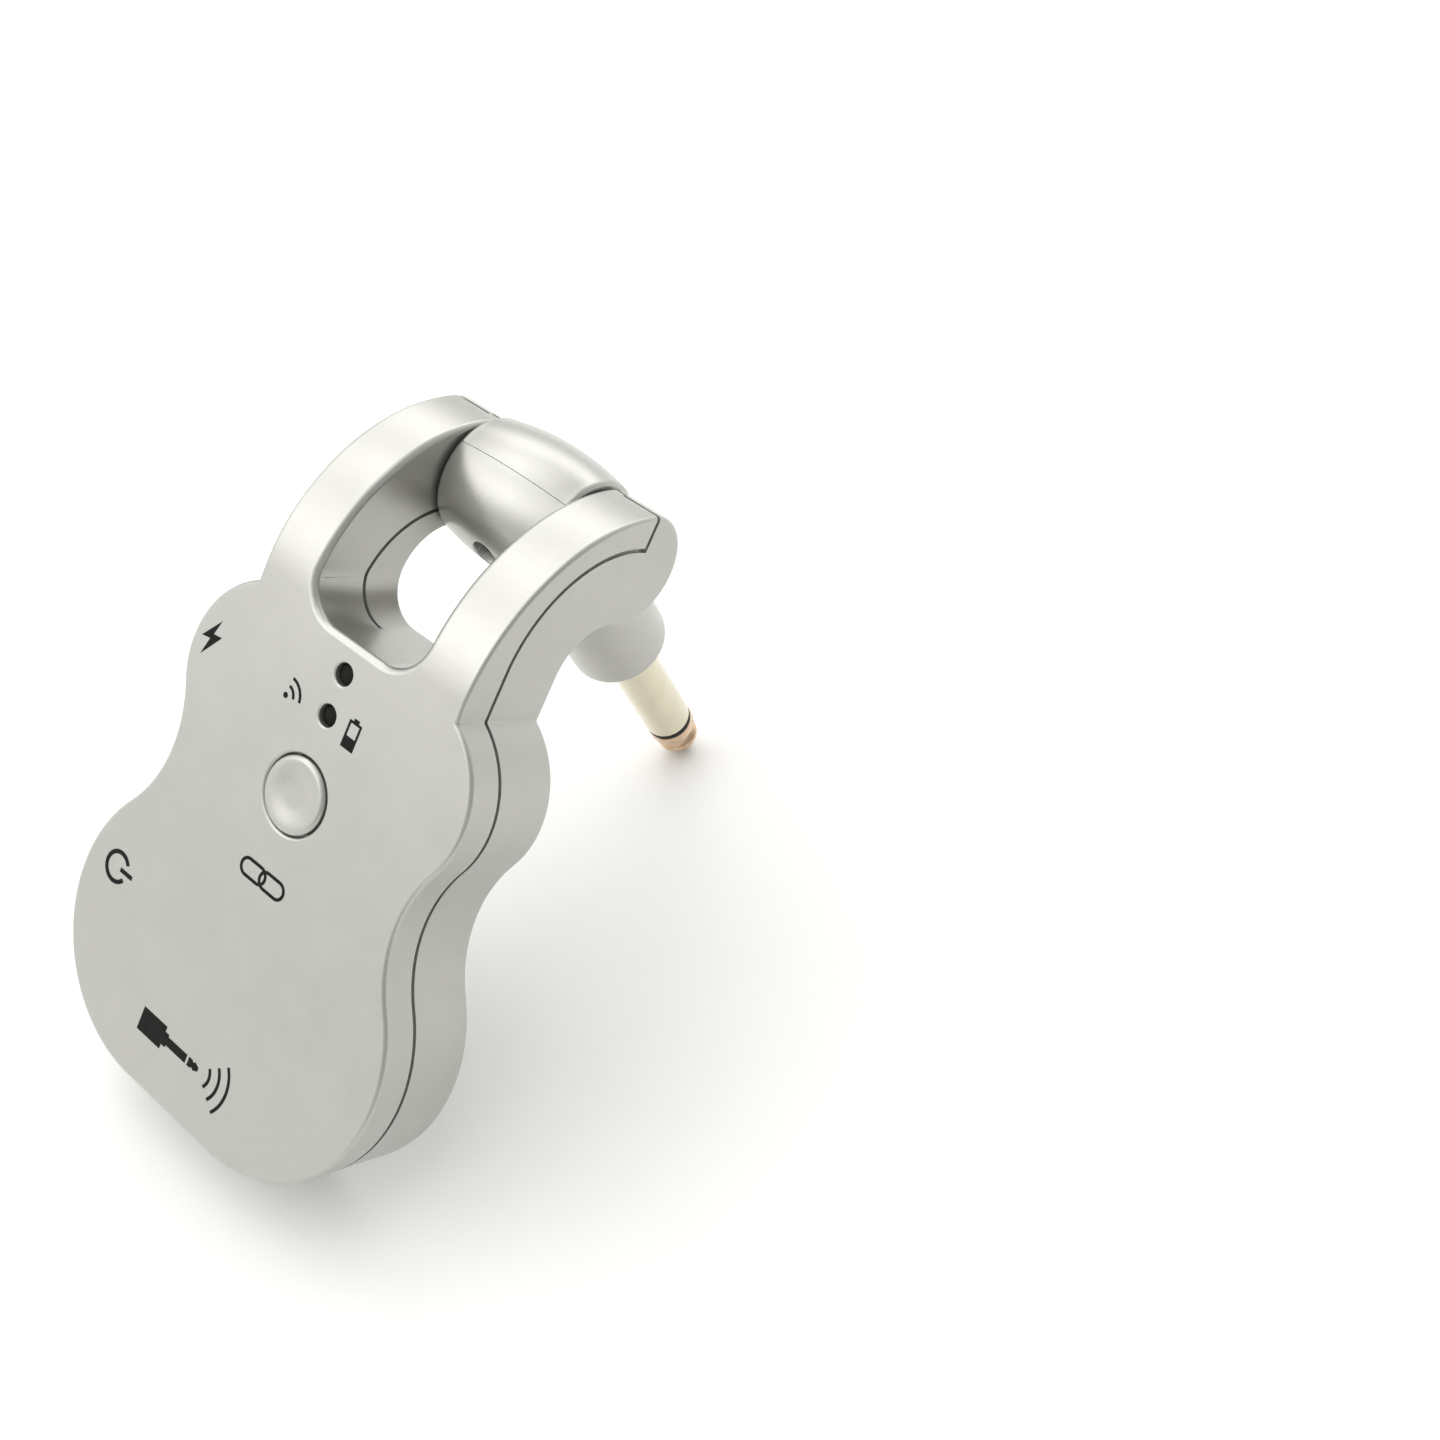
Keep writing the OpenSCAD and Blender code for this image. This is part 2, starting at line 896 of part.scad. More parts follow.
module axle_right() {
    color(steel)
        axle(1);
}

module friction_washers() {
    color([0.80, 0.65, 0.35])
        at_swivel()
            for (side = [-1, 1])
                rotate([0, side * 90, 0])
                    translate([0, 0, washer_x])
                        difference() {
                            cylinder(r = 3.4, h = clip_x - washer_x - slide_gap);
                            translate([0, 0, -1])
                                cylinder(r = axle_r, h = 3);
                        }
}

module axle_clips() {
    color(steel)
        at_swivel()
            for (side = [-1, 1])
                rotate([0, side * 90, 0])
                    translate([0, 0, clip_x])
                        difference() {
                            cylinder(r = 3.8, h = clip_t);
                            translate([0, 0, -1])
                                cylinder(r = groove_r, h = 3);
                            bar_between([0, -1.5, -1], [6, 1.5, 2]);
                        }
}

// a slotted ring screwed into the boss behind the sleeve's flange
module plug_retainer() {
    retainer_h = 3.0;
    color([0.80, 0.65, 0.35])
        at_swivel()
            translate([0, 0, flange_z - retainer_h])
                difference() {
                    cylinder(r = boss_bore_r, h = retainer_h);
                    translate([0, 0, -1])
                        cylinder(r = 3.0, h = 6);
                    for (turn = [0, 180])
                        rotate([0, 0, turn])
                            bar_between([3.2, -0.6, -1], [6, 0.6, 1.2]);
                }
}

// a hollow sleeve whose flange is clamped between the boss's end wall and the retainer
module plug_sleeve() {
    tail_z = 21;
    tail_r = 3.0;
    collar_z = 28;
    color([0.80, 0.77, 0.70])
        at_swivel()
            difference() {
                union() {
                    translate([0, 0, tail_z])
                        cylinder(r = tail_r, h = collar_z + 1 - tail_z);
                    translate([0, 0, flange_z])
                        cylinder(r = boss_bore_r - 0.2, h = boss_end - boss_floor - flange_z);
                    translate([0, 0, collar_z])
                        cylinder(r = boss_hole_r, h = boss_end - collar_z);
                    translate([0, 0, boss_end - 0.5])
                        cylinder(r = plug_r, h = ring_back - boss_end + 0.5);
                }
                translate([0, 0, tail_z - 1])
                    cylinder(r = sleeve_bore_r, h = ring_back - tail_z + 2);
            }
}

// a black tube inside the sleeve, which shows as the ring between the sleeve and the tip
module plug_insulator() {
    tube_z = 20;
    color(dark)
        at_swivel()
            difference() {
                union() {
                    translate([0, 0, tube_z])
                        cylinder(r = sleeve_bore_r, h = ring_back - tube_z + 0.5);
                    translate([0, 0, ring_back])
                        cylinder(r = plug_r, h = ring_front - ring_back);
                }
                translate([0, 0, tube_z - 1])
                    cylinder(r = rod_r, h = ring_front - tube_z + 2);
            }
}

// the tip and the rod that runs back through the insulator
module plug_tip() {
    shoulder = 1.9;
    shoulder_edge = 0.3;
    neck_r = 1.95;
    neck_z = ring_front + shoulder + 0.9;
    color([0.80, 0.66, 0.46])
        at_swivel() {
            translate([0, 0, rod_end])
                cylinder(r = rod_r, h = ring_front - rod_end + 1);
            translate([0, 0, ring_front])
                cylinder(r = plug_r, h = shoulder - shoulder_edge);
            translate([0, 0, ring_front + shoulder - shoulder_edge])
                cylinder(r1 = plug_r, r2 = plug_r - shoulder_edge, h = shoulder_edge);
            rotate_extrude($fn = 96)
                polygon(concat(
                    [[0, neck_z - 1.2], [neck_r + 0.2, neck_z - 1.2], [neck_r + 0.2, neck_z - 0.4]],
                    [[neck_r, neck_z], [neck_r, neck_z + 0.2]],
                    arc([ball_r - ball_edge_r, plug_end - ball_back], ball_edge_r, -50, 35, 6),
                    arc([nose_c, plug_end - nose_r], nose_r, 35, 90, 8),
                    [[0, plug_end]]));
        }
}

// brass solder lugs on the sleeve and on the tip's rod
module plug_lugs() {
    color([0.80, 0.65, 0.35])
        at_swivel() {
            translate([0, 0, rod_end - 0.8])
                difference() {
                    cylinder(r = 2.2, h = 0.8);
                    translate([0, 0, -1])
                        cylinder(r = 0.5, h = 1.4);
                }
            bar_between([2.4, -0.8, 17.6], [2.9, 0.8, 21]);
        }
}

// the same lead inside the barrel, from the hollow axle to the plug's lugs
module plug_lead() {
    color([0.15, 0.15, 0.16])
        at_swivel()
            wire([[-lead_joint_x, 0, 0], [-6, 0, 0], [-4.5, 0, 0.6], [-3.6, 0, 2.0], [-2.8, 0, 5],
                [-1.2, 0, 10], [-0.3, 0, 14], [0, 0, 16.7]], lead_r, [1, 3, 1]);
}

front_shell();
rear_shell();
case_screws();
circuit_board();
battery_cell();
battery_pad();
charging_port();
pair_switch();
power_switch();
signal_led();
battery_led();
light_pipes();
radio_module();
audio_chip();
charger_chip();
chip_antenna();
bush_left();
bush_right();
case_lead();
pair_button();
pair_plunger();
power_knob();
switch_slider();
barrel_body();
barrel_cover();
barrel_screw();
axle_left();
axle_right();
friction_washers();
axle_clips();
plug_retainer();
plug_sleeve();
plug_insulator();
plug_tip();
plug_lugs();
plug_lead();
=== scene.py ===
"""Looks of a wireless guitar transmitter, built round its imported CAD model.

Shapes are drawn in millimetres in the case's own axes (x right, y up the case, z out of its
face) or the swivel's own axes (x along the axle, y towards the barrel's cover, z along the
plug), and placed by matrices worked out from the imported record.
"""

import json
import math

import bmesh
import bpy
from mathutils import Matrix, Vector


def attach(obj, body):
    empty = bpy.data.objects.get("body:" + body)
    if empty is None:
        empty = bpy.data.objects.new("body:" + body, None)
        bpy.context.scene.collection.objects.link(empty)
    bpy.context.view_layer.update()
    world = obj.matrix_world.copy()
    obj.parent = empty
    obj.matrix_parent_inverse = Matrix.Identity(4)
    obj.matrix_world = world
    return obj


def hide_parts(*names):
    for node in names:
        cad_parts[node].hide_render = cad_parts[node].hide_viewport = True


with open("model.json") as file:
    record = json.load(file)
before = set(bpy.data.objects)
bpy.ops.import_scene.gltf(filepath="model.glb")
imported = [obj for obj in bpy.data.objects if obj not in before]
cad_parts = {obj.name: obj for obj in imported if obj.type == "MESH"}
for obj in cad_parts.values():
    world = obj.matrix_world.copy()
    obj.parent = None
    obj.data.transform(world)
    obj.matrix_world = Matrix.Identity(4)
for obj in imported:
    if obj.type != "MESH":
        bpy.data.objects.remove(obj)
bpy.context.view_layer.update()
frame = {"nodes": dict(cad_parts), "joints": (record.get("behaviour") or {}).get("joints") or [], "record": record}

MM = 0.001
SHARP_ANGLE = 32.0               # edges sharper than this, in degrees, aren't shaded smooth
MERGE_DIST = 0.002               # points closer than this, in millimetres, are merged

# ---------------------------------------------------------------- driving sizes, in millimetres

LOWER = (7.5, 18.0, 18.0)        # centre x, centre y and radius of the lower corners
UPPER = (10.5, 50.1, 11.5)       # the same of the shoulders
WAIST_R = 15.9
CASE_D = 13.6
WALL = 1.5
SEAM_D = 4.6                     # depth of the seam on the outer sides
WINDOW_SEAM_D = 7.6              # and on the window's walls
SEAM_CENTRE = (66.1, -19.6)      # centre of the seam's curve on the outer sides
WINDOW_SEAM_CENTRE = (63.1, -18.6)
SEAM_KINK = 0.3                  # height above its centre where the outer seam turns outwards
SEAM_HALF = 0.25                 # half the width of the groove along the seam
SEAM_DEPTH = 0.50                # and its depth
FRONT_EDGE = 0.50                # rounding of the case's front edges
WINDOW_EDGE = 0.80               # of the window's front edges
REAR_EDGE = 0.50                 # and of the rear edges
CREASE_EDGE = 0.22               # rounding of the creases between the arms and the shoulders
OPENING_EDGE = 0.15              # and of the openings in the left side
HOLE_DEPTH = 3.0                 # how deep the round holes in the face and the rear are cut

ARM_X = 15.9
ARM_Y = 62.4                     # the arms' outer face curves about y = ARM_Y, z = -ARM_R
ARM_R = 23.0
CAP_R = 6.6                      # radius of their round ends
SWIVEL_DEPTH = 19.8              # depth of the swivel's axis behind the face
WINDOW_X = 8.7
WINDOW_Y = 60.8
WINDOW_R = 4.8

BARREL_MID_R = 8.1
BARREL_END_R = 7.1
BARREL_HALF = 8.4
BARREL_EDGE = 0.60               # rounding of the barrel's ends
SPLIT_GAP = 0.03                 # the barrel's parts stand back this far from their split
BOSS_R = 6.3
BOSS_END = 32.3
BOSS_EDGE = 0.9                  # rounding of the end of the stem that holds the plug
BARREL_ROOM_R = 5.2              # the hollow inside the barrel, and half its length
BARREL_ROOM_HALF = 6.2
AXLE_R = 2.5                     # radius of the swivel's axles
BUSH_R = 3.5                     # and of the bushes that they turn in
COVER_SCREW_Z = -1.0             # the screw that holds the barrel's cover, and its head's seat
COVER_SCREW_SEAT = 3.4
PLUG_R = 3.175
PLUG_END = 63.4
RING_BACK = PLUG_END - 8.6       # the black ring between the plug's sleeve and its tip
RING_FRONT = PLUG_END - 7.6

BUTTON_Y = 42.3
BUTTON_HOLE_R = 4.6
BUTTON_HOLE_EDGE = 0.38
BUTTON_R = 4.42
BUTTON_RIM = (0.55, 0.45)        # width and height of the rounding of the button's rim
BUTTON_TOP = 0.30                # how far the rim stands out of the face
BUTTON_DISH = 0.28               # depth of the dish inside the rim
LED_YS = (52.2, 57.2)
LED_R = 1.25
LED_HOLE_EDGE = 0.25
SWITCH_Y = 12.7                  # lower end of the power switch's opening
SWITCH_LEN = 13.9
SWITCH_Z = (-8.4, -2.9)
SWITCH_TRAVEL = 2.0
SWITCH_GAP = 0.2                 # between the knob and its opening
RIBS = 4
RIB_PITCH = 2.45
PORT_Y = 48.9
PORT_Z = -4.7
PORT_HALF = (4.6, 1.7)           # half the length and half the height of the port's opening
PORT_SHELL_HALF = (4.4, 1.5)     # of its connector's shell outside
PORT_MOUTH_HALF = (4.1, 1.2)     # and inside
SCREWS = ((-12, 6.5), (12, 6.5), (-15.8, 56.2), (15.8, 56.2))
COUNTERBORE_R = 2.1
COUNTERBORE_EDGE = 0.2
BOARD_FRONT = -6.3               # the circuit board is held between the shells' posts
BOARD_REAR = -7.3
FRONT_POST_R = 2.2
REAR_POST_R = 3.1
THREAD_HOLE_R = 0.85
SHANK_HOLE_R = 1.15
STROKE = 0.4                     # usual width of the printed lines
INK_T = 0.02                     # and their thickness

ARM_Z = -ARM_R
AXIS_Z = -SWIVEL_DEPTH
CAP_TURN = math.degrees(math.asin((AXIS_Z - ARM_Z) / (ARM_R - CAP_R)))
AXIS_Y = ARM_Y + (ARM_R - CAP_R) * math.cos(math.radians(CAP_TURN))
CROOK_R = SWIVEL_DEPTH - CASE_D  # the arms' inner curve
CROOK_Y = AXIS_Y - CAP_R - CROOK_R

# ---------------------------------------------------------------- frames


def record_item(group, name):
    return next(item for item in group if item["name"] == name)


def own_axes(x, y, z, origin):
    """Matrix from own axes in millimetres to the row frame in metres."""
    turn = Matrix((x, y, z)).transposed().to_4x4()
    return Matrix.Translation(origin) @ turn @ Matrix.Scale(MM, 4)


record = frame["record"]
X = Vector((1, 0, 0))
OUT = -Vector(record_item(record["mounts"], "back_face")["axis"]).normalized()
UP = OUT.cross(X).normalized()
HINGE = Vector(record_item(frame["joints"], "plug_swivel_hinge")["pos_m"])
PLUG = Vector(record_item(record["mounts"], "jack_plug")["axis"]).normalized()
CASE = own_axes(X, UP, OUT, HINGE - UP * AXIS_Y * MM - OUT * AXIS_Z * MM)
SWIVEL = own_axes(X, PLUG.cross(X), PLUG, HINGE)

# ---------------------------------------------------------------- outlines


def arc(centre, r, start, end, step=3.0):
    """Points on an arc, with its angles in degrees."""
    count = max(2, math.ceil(abs(end - start) / step))
    turn = [math.radians(start + (end - start) * i / count) for i in range(count + 1)]
    return [(centre[0] + r * math.cos(t), centre[1] + r * math.sin(t)) for t in turn]


def waist_centre():
    """Centre of the circle that touches a lower corner and a shoulder from outside, on the right."""
    low = Vector(LOWER[:2])
    high = Vector(UPPER[:2])
    gap = (high - low).length
    low_reach = LOWER[2] + WAIST_R
    high_reach = UPPER[2] + WAIST_R
    along = (low_reach ** 2 - high_reach ** 2 + gap ** 2) / (2 * gap)
    across = math.sqrt(low_reach ** 2 - along ** 2)
    up = (high - low) / gap
    return low + up * along + Vector((up.y, -up.x)) * across


WAIST = waist_centre()


def face_outline(d=0.0, top=92.0):
    """The face's outline moved in by d; its top is cut off by the side outline."""
    low_end = math.degrees(math.atan2(WAIST.y - LOWER[1], WAIST.x - LOWER[0]))
    high_end = math.degrees(math.atan2(UPPER[1] - WAIST.y, UPPER[0] - WAIST.x))
    neck = ARM_X - d
    neck_turn = math.degrees(math.acos((neck - UPPER[0]) / (UPPER[2] - d)))
    side = arc(LOWER, LOWER[2] - d, -90, low_end)
    side += arc(WAIST, WAIST_R + d, low_end + 180, high_end)[1:]
    side += arc(UPPER, UPPER[2] - d, high_end - 180, neck_turn)[1:]
    side.append((neck, top))
    return side + [(-x, y) for x, y in reversed(side)]


def window_outline(d=0.0, top=95.0):
    """The window between the arms, grown by d; it is open at the top."""
    x, y, r = WINDOW_X + d, WINDOW_Y - d, WINDOW_R + d
    return ([(x, top)] + arc((x - r, y + r), r, 0, -90, 5) + arc((r - x, y + r), r, -90, -180, 5)
            + [(-x, top)])


def side_outline(d=0.0):
    """The case seen from its side, as (y, z), moved in by d."""
    return ([(d, -d)] + arc((ARM_Y, ARM_Z), ARM_R - d, 90, CAP_TURN, 2.5)
            + arc((AXIS_Y, AXIS_Z), CAP_R - d, CAP_TURN, -180, 5)
            + arc((CROOK_Y, AXIS_Z), CROOK_R + d, 0, 90, 5)
            + [(d, d - CASE_D)])


def outer_seam_outline(back=0.0):
    """In front of the seam on the outer sides, as (y, z); back moves the seam back."""
    r = -SEAM_CENTRE[1] - SEAM_D - back
    kink = math.degrees(math.asin((SEAM_KINK - back) / r))
    end = SEAM_CENTRE[1] + SEAM_KINK - back
    return ([(-5, 5), (-5, -SEAM_D - back)] + arc(SEAM_CENTRE, r, 90, kink, 2.5) + [(95, end), (95, 5)])


def window_seam_outline(back=0.0):
    """In front of the seam on the window's walls, as (y, z)."""
    return ([(-5, 5), (-5, -WINDOW_SEAM_D - back)]
            + arc(WINDOW_SEAM_CENTRE, -WINDOW_SEAM_CENTRE[1] - WINDOW_SEAM_D - back, 80, 8, 4)
            + [(AXIS_Y - 4.5, AXIS_Z - back), (95, AXIS_Z - back), (95, 5)])


# ---------------------------------------------------------------- solids

ALONG_Z = Matrix.Identity(3)
ALONG_X = Matrix(((0, 0, 1), (1, 0, 0), (0, 1, 0)))     # outline (y, z), pushed along x


def temp(bm, name="part"):
    """A scratch object from a bmesh, with its faces turned outwards."""
    bmesh.ops.recalc_face_normals(bm, faces=bm.faces)
    mesh = bpy.data.meshes.new(name)
    bm.to_mesh(mesh)
    bm.free()
    obj = bpy.data.objects.new(name, mesh)
    bpy.context.scene.collection.objects.link(obj)
    return obj


def prism(outline, low, high, along=ALONG_Z):
    """An outline pushed from low to high."""
    bm = bmesh.new()
    rings = [[bm.verts.new(along @ Vector((a, b, c))) for a, b in outline] for c in (low, high)]
    bm.faces.new(rings[0])
    bm.faces.new(rings[1])
    for i in range(len(outline)):
        j = (i + 1) % len(outline)
        bm.faces.new((rings[0][i], rings[0][j], rings[1][j], rings[1][i]))
    return temp(bm)


def rectangle(low, high):
    return [(low[0], low[1]), (high[0], low[1]), (high[0], high[1]), (low[0], high[1])]


def block(low, high):
    return prism(rectangle(low, high), low[2], high[2])


def lathe(profile, sides=96, turn=None, closed=False):
    """Turns a profile of (radius, z) points about z; a closed profile makes a ring."""
    bm = bmesh.new()
    rings = []
    for r, z in profile:
        if r < 1e-6:
            rings.append([bm.verts.new((0, 0, z))])
            continue
        steps = [math.tau * i / sides for i in range(sides)]
        rings.append([bm.verts.new((r * math.cos(t), r * math.sin(t), z)) for t in steps])
    pairs = list(zip(rings, rings[1:]))
    if closed:
        pairs.append((rings[-1], rings[0]))
    for a, b in pairs:
        for i in range(sides):
            j = (i + 1) % sides
            loop = [a[i % len(a)], a[j % len(a)], b[j % len(b)], b[i % len(b)]]
            loop = list(dict.fromkeys(loop))
            if len(loop) > 2:
                bm.faces.new(loop)
    if turn is not None:
        bm.transform(turn)
    return temp(bm)


def bar(r, low, high, turn=None, sides=64):
    """A round bar along z from low to high."""
    return lathe([(0, low), (r, low), (r, high), (0, high)], sides, turn=turn)


def copy_of(obj):
    twin = obj.copy()
    twin.data = obj.data.copy()
    bpy.context.scene.collection.objects.link(twin)
    return twin


def join(a, b):
    """Adds b's mesh to a's as it is, with no boolean."""
    bm = bmesh.new()
    bm.from_mesh(a.data)
    bm.from_mesh(b.data)
    bm.to_mesh(a.data)
    bm.free()
    drop(b)
    return a


def drop(obj):
    """Removes a scratch object and its mesh."""
    mesh = obj.data
    bpy.data.objects.remove(obj)
    if mesh.users == 0:
        bpy.data.meshes.remove(mesh)


def settle(obj):
    """Applies an object's modifiers to its mesh."""
    depsgraph = bpy.context.evaluated_depsgraph_get()
    depsgraph.update()
    mesh = bpy.data.meshes.new_from_object(obj.evaluated_get(depsgraph))
    obj.modifiers.clear()
    old = obj.data
    obj.data = mesh
    bpy.data.meshes.remove(old)
    return obj


def combine(base, tools, how):
    """Applies one boolean after another to base, and uses the tools up."""
    for tool in tools:
        mod = base.modifiers.new("combine", "BOOLEAN")
        mod.operation = how
        mod.solver = "MANIFOLD"
        mod.object = tool
        settle(base)
        drop(tool)
    return base


def minus(base, *tools):
    return combine(base, tools, "DIFFERENCE")


def plus(base, *tools):
    return combine(base, tools, "UNION")


def meet(base, *tools):
    return combine(base, tools, "INTERSECT")


def clean(obj):
    """Merges the flat pieces that booleans leave."""
    bm = bmesh.new()
    bm.from_mesh(obj.data)
    bmesh.ops.remove_doubles(bm, verts=bm.verts, dist=MERGE_DIST)
    bmesh.ops.dissolve_limit(bm, angle_limit=math.radians(0.2), verts=bm.verts, edges=bm.edges)
    bmesh.ops.dissolve_degenerate(bm, edges=bm.edges, dist=MERGE_DIST)
    bm.to_mesh(obj.data)
    bm.free()
    return obj


def merge_flats(obj):
    """Joins neighbouring faces that lie in one plane, so that they shade as one."""
    bm = bmesh.new()
    bm.from_mesh(obj.data)
    bmesh.ops.dissolve_limit(bm, angle_limit=math.radians(0.05), verts=bm.verts, edges=bm.edges,
                             delimit={"SEAM"})
    bm.to_mesh(obj.data)
    bm.free()
    return obj


def bevel(obj, width_at, segments=4, sharp=25.0):
    """Rounds each edge sharper than sharp degrees by width_at(its middle), in millimetres."""
    bm = bmesh.new()
    bm.from_mesh(obj.data)
    weights = bm.edges.layers.float
    layer = weights.get("bevel_weight_edge") or weights.new("bevel_weight_edge")
    for edge in bm.edges:
        edge[layer] = 0.0
        if len(edge.link_faces) != 2:
            continue
        if math.degrees(edge.calc_face_angle(0.0)) < sharp:
            continue
        middle = (edge.verts[0].co + edge.verts[1].co) / 2
        edge[layer] = width_at(middle)
    bm.to_mesh(obj.data)
    bm.free()
    mod = obj.modifiers.new("rounding", "BEVEL")
    mod.limit_method = "WEIGHT"
    mod.width = 1.0
    mod.segments = segments
    mod.use_clamp_overlap = False
    return settle(obj)


def finish_piece(obj, name, place, body, slot, material, *nodes):
    """Puts a piece drawn in millimetres in its place, and says what it is."""
    obj.name = name
    obj.data.name = name
    merge_flats(obj)
    obj.data.transform(place)
    obj.data.polygons.foreach_set("use_smooth", [True] * len(obj.data.polygons))
    obj.data.set_sharp_from_angle(angle=math.radians(SHARP_ANGLE))
    smooth = obj.modifiers.new("even_normals", "WEIGHTED_NORMAL")
    smooth.keep_sharp = True
    smooth.weight = 60
    even = obj.modifiers.new("even_triangles", "TRIANGULATE")
    even.ngon_method = "BEAUTY"
    even.min_vertices = 5
    even.keep_custom_normals = True
    obj.data.materials.clear()
    obj.data.materials.append(material)
    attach(obj, body)
    if nodes:
        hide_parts(*nodes)
    return obj


# ---------------------------------------------------------------- materials


class Shader:
    """A node material that is built step by step."""

    def __init__(self, name):
        self.material = bpy.data.materials.new(name)
        self.material.use_nodes = True
        self.tree = self.material.node_tree
        self.bsdf = self.tree.nodes["Principled BSDF"]
        self.place = self.node("ShaderNodeTexCoord").outputs["Object"]

    def node(self, kind, **values):
        """A node with its properties and plain inputs set by name."""
        made = self.tree.nodes.new(kind)
        for key, value in values.items():
            if hasattr(made, key):
                setattr(made, key, value)
            else:
                made.inputs[key].default_value = value
        return made

    def link(self, source, target):
        self.tree.links.new(source, target)

    def set(self, **values):
        """Sets the shader's own inputs, named with _ for each space."""
        for key, value in values.items():
            self.bsdf.inputs[key.replace("_", " ")].default_value = value
        return self

    def noise(self, size_mm, detail=3.0, rough=0.5):
        """Noise whose features are about size_mm across."""
        made = self.node("ShaderNodeTexNoise", Scale=1.0 / (size_mm * MM), Detail=detail, Roughness=rough)
        self.link(self.place, made.inputs["Vector"])
        return made.outputs["Fac"]

    def flakes(self, size_mm):
        """Cells about size_mm across."""
        made = self.node("ShaderNodeTexVoronoi", Scale=1.0 / (size_mm * MM))
        self.link(self.place, made.inputs["Vector"])
        return made

    def spread(self, source, low, high, start=0.3, end=0.7):
        """Stretches the range start to end of a source over low to high."""
        made = self.node("ShaderNodeMapRange")
        made.inputs["From Min"].default_value = start
        made.inputs["From Max"].default_value = end
        made.inputs["To Min"].default_value = low
        made.inputs["To Max"].default_value = high
        self.link(source, made.inputs["Value"])
        return made.outputs["Result"]

    def mix(self, factor, a, b):
        """Mixes two colours, or two sockets, by a number or a socket."""
        made = self.node("ShaderNodeMix", data_type="RGBA")
        if isinstance(factor, float):
            made.inputs[0].default_value = factor
        else:
            self.link(factor, made.inputs[0])
        for slot, value in ((6, a), (7, b)):
            if isinstance(value, tuple):
                made.inputs[slot].default_value = (*value, 1.0)
            else:
                self.link(value, made.inputs[slot])
        return made.outputs[2]

    def bumps(self, *layers):
        """Stacks bumps given as (height source, depth in millimetres)."""
        last = None
        for source, depth in layers:
            made = self.node("ShaderNodeBump", Strength=1.0, Distance=depth * MM)
            self.link(source, made.inputs["Height"])
            if last is not None:
                self.link(last, made.inputs["Normal"])
            last = made.outputs["Normal"]
        self.link(last, self.bsdf.inputs["Normal"])
        return self

    def colour(self, source):
        self.link(source, self.bsdf.inputs["Base Color"])
        return self

    def rough(self, source):
        self.link(source, self.bsdf.inputs["Roughness"])
        return self


def silver_paint():
    """Satin silver paint: fine metal flakes under a thin clear coat, on slightly uneven plastic."""
    s = Shader("silver_paint")
    flake = s.flakes(0.07)
    tone = s.spread(flake.outputs["Distance"], 0.0, 1.0, 0.1, 0.6)
    base = s.mix(tone, (0.520, 0.520, 0.490), (0.440, 0.438, 0.412))
    cloud = s.spread(s.noise(6.0, 4.0), 0.0, 1.0)
    s.colour(s.mix(cloud, base, (0.482, 0.480, 0.453)))
    s.rough(s.spread(s.noise(0.35, 5.0), 0.28, 0.36))
    s.set(Metallic=0.80, Coat_Weight=0.25, Coat_Roughness=0.22)
    s.bumps((s.noise(0.06, 2.0), 0.0016), (s.noise(0.9, 2.0), 0.004))
    return s.material


def polished_metal(name, base, tint, roughness, scratch_depth):
    """Metal with slow changes of tint and fine scratches."""
    s = Shader(name)
    s.colour(s.mix(s.spread(s.noise(2.5, 4.0), 0.0, 1.0), base, tint))
    s.rough(s.spread(s.noise(0.5, 6.0), roughness, roughness + 0.10))
    s.set(Metallic=1.0)
    s.bumps((s.noise(0.12, 4.0), scratch_depth))
    return s.material


def plain_plastic(name, base, tint, roughness, grain_mm=0.1, depth=0.003, coat=0.0, gloss=0.5):
    """Moulded, printed or cast stuff with two close colours and a fine grain."""
    s = Shader(name)
    s.colour(s.mix(s.spread(s.noise(3.0, 3.0), 0.0, 1.0), base, tint))
    s.rough(s.spread(s.noise(0.4, 4.0), roughness, roughness + 0.12))
    s.set(Coat_Weight=coat, Coat_Roughness=0.1, Specular_IOR_Level=gloss)
    s.bumps((s.noise(grain_mm, 2.0), depth))
    return s.material


PAINT = silver_paint()
NICKEL = polished_metal("nickel_plate", (0.72, 0.67, 0.53), (0.67, 0.62, 0.48), 0.08, 0.0004)
TIP_PLATE = polished_metal("tip_plate", (0.80, 0.60, 0.42), (0.52, 0.36, 0.24), 0.08, 0.0006)
STEEL = polished_metal("zinc_steel", (0.62, 0.62, 0.63), (0.48, 0.49, 0.51), 0.28, 0.0010)
BRONZE = polished_metal("spring_bronze", (0.78, 0.58, 0.32), (0.66, 0.47, 0.25), 0.28, 0.0010)
SHIELD = polished_metal("tinned_shield", (0.66, 0.67, 0.68), (0.55, 0.56, 0.58), 0.33, 0.0012)
FOIL = polished_metal("cell_foil", (0.70, 0.72, 0.76), (0.60, 0.62, 0.66), 0.38, 0.0060)
BLACK = plain_plastic("black_plastic", (0.008, 0.008, 0.008), (0.014, 0.013, 0.012), 0.45,
                      gloss=0.12)
LENS = plain_plastic("smoked_lens", (0.006, 0.007, 0.004), (0.012, 0.013, 0.008), 0.40,
                     gloss=0.10)
INK = plain_plastic("printed_ink", (0.004, 0.004, 0.004), (0.008, 0.007, 0.007), 0.65,
                    0.05, 0.002, gloss=0.2)
BOARD = plain_plastic("solder_mask", (0.012, 0.090, 0.040), (0.020, 0.130, 0.060), 0.30, 0.6, 0.020, 0.4)
FOAM = plain_plastic("foam_pad", (0.030, 0.030, 0.031), (0.055, 0.054, 0.052), 0.85, 0.25, 0.060)
RESIN = plain_plastic("led_resin", (0.80, 0.83, 0.84), (0.72, 0.76, 0.70), 0.12, 0.2, 0.002, 0.5)
CERAMIC = plain_plastic("ceramic", (0.72, 0.71, 0.64), (0.64, 0.63, 0.56), 0.42, 0.08, 0.003)
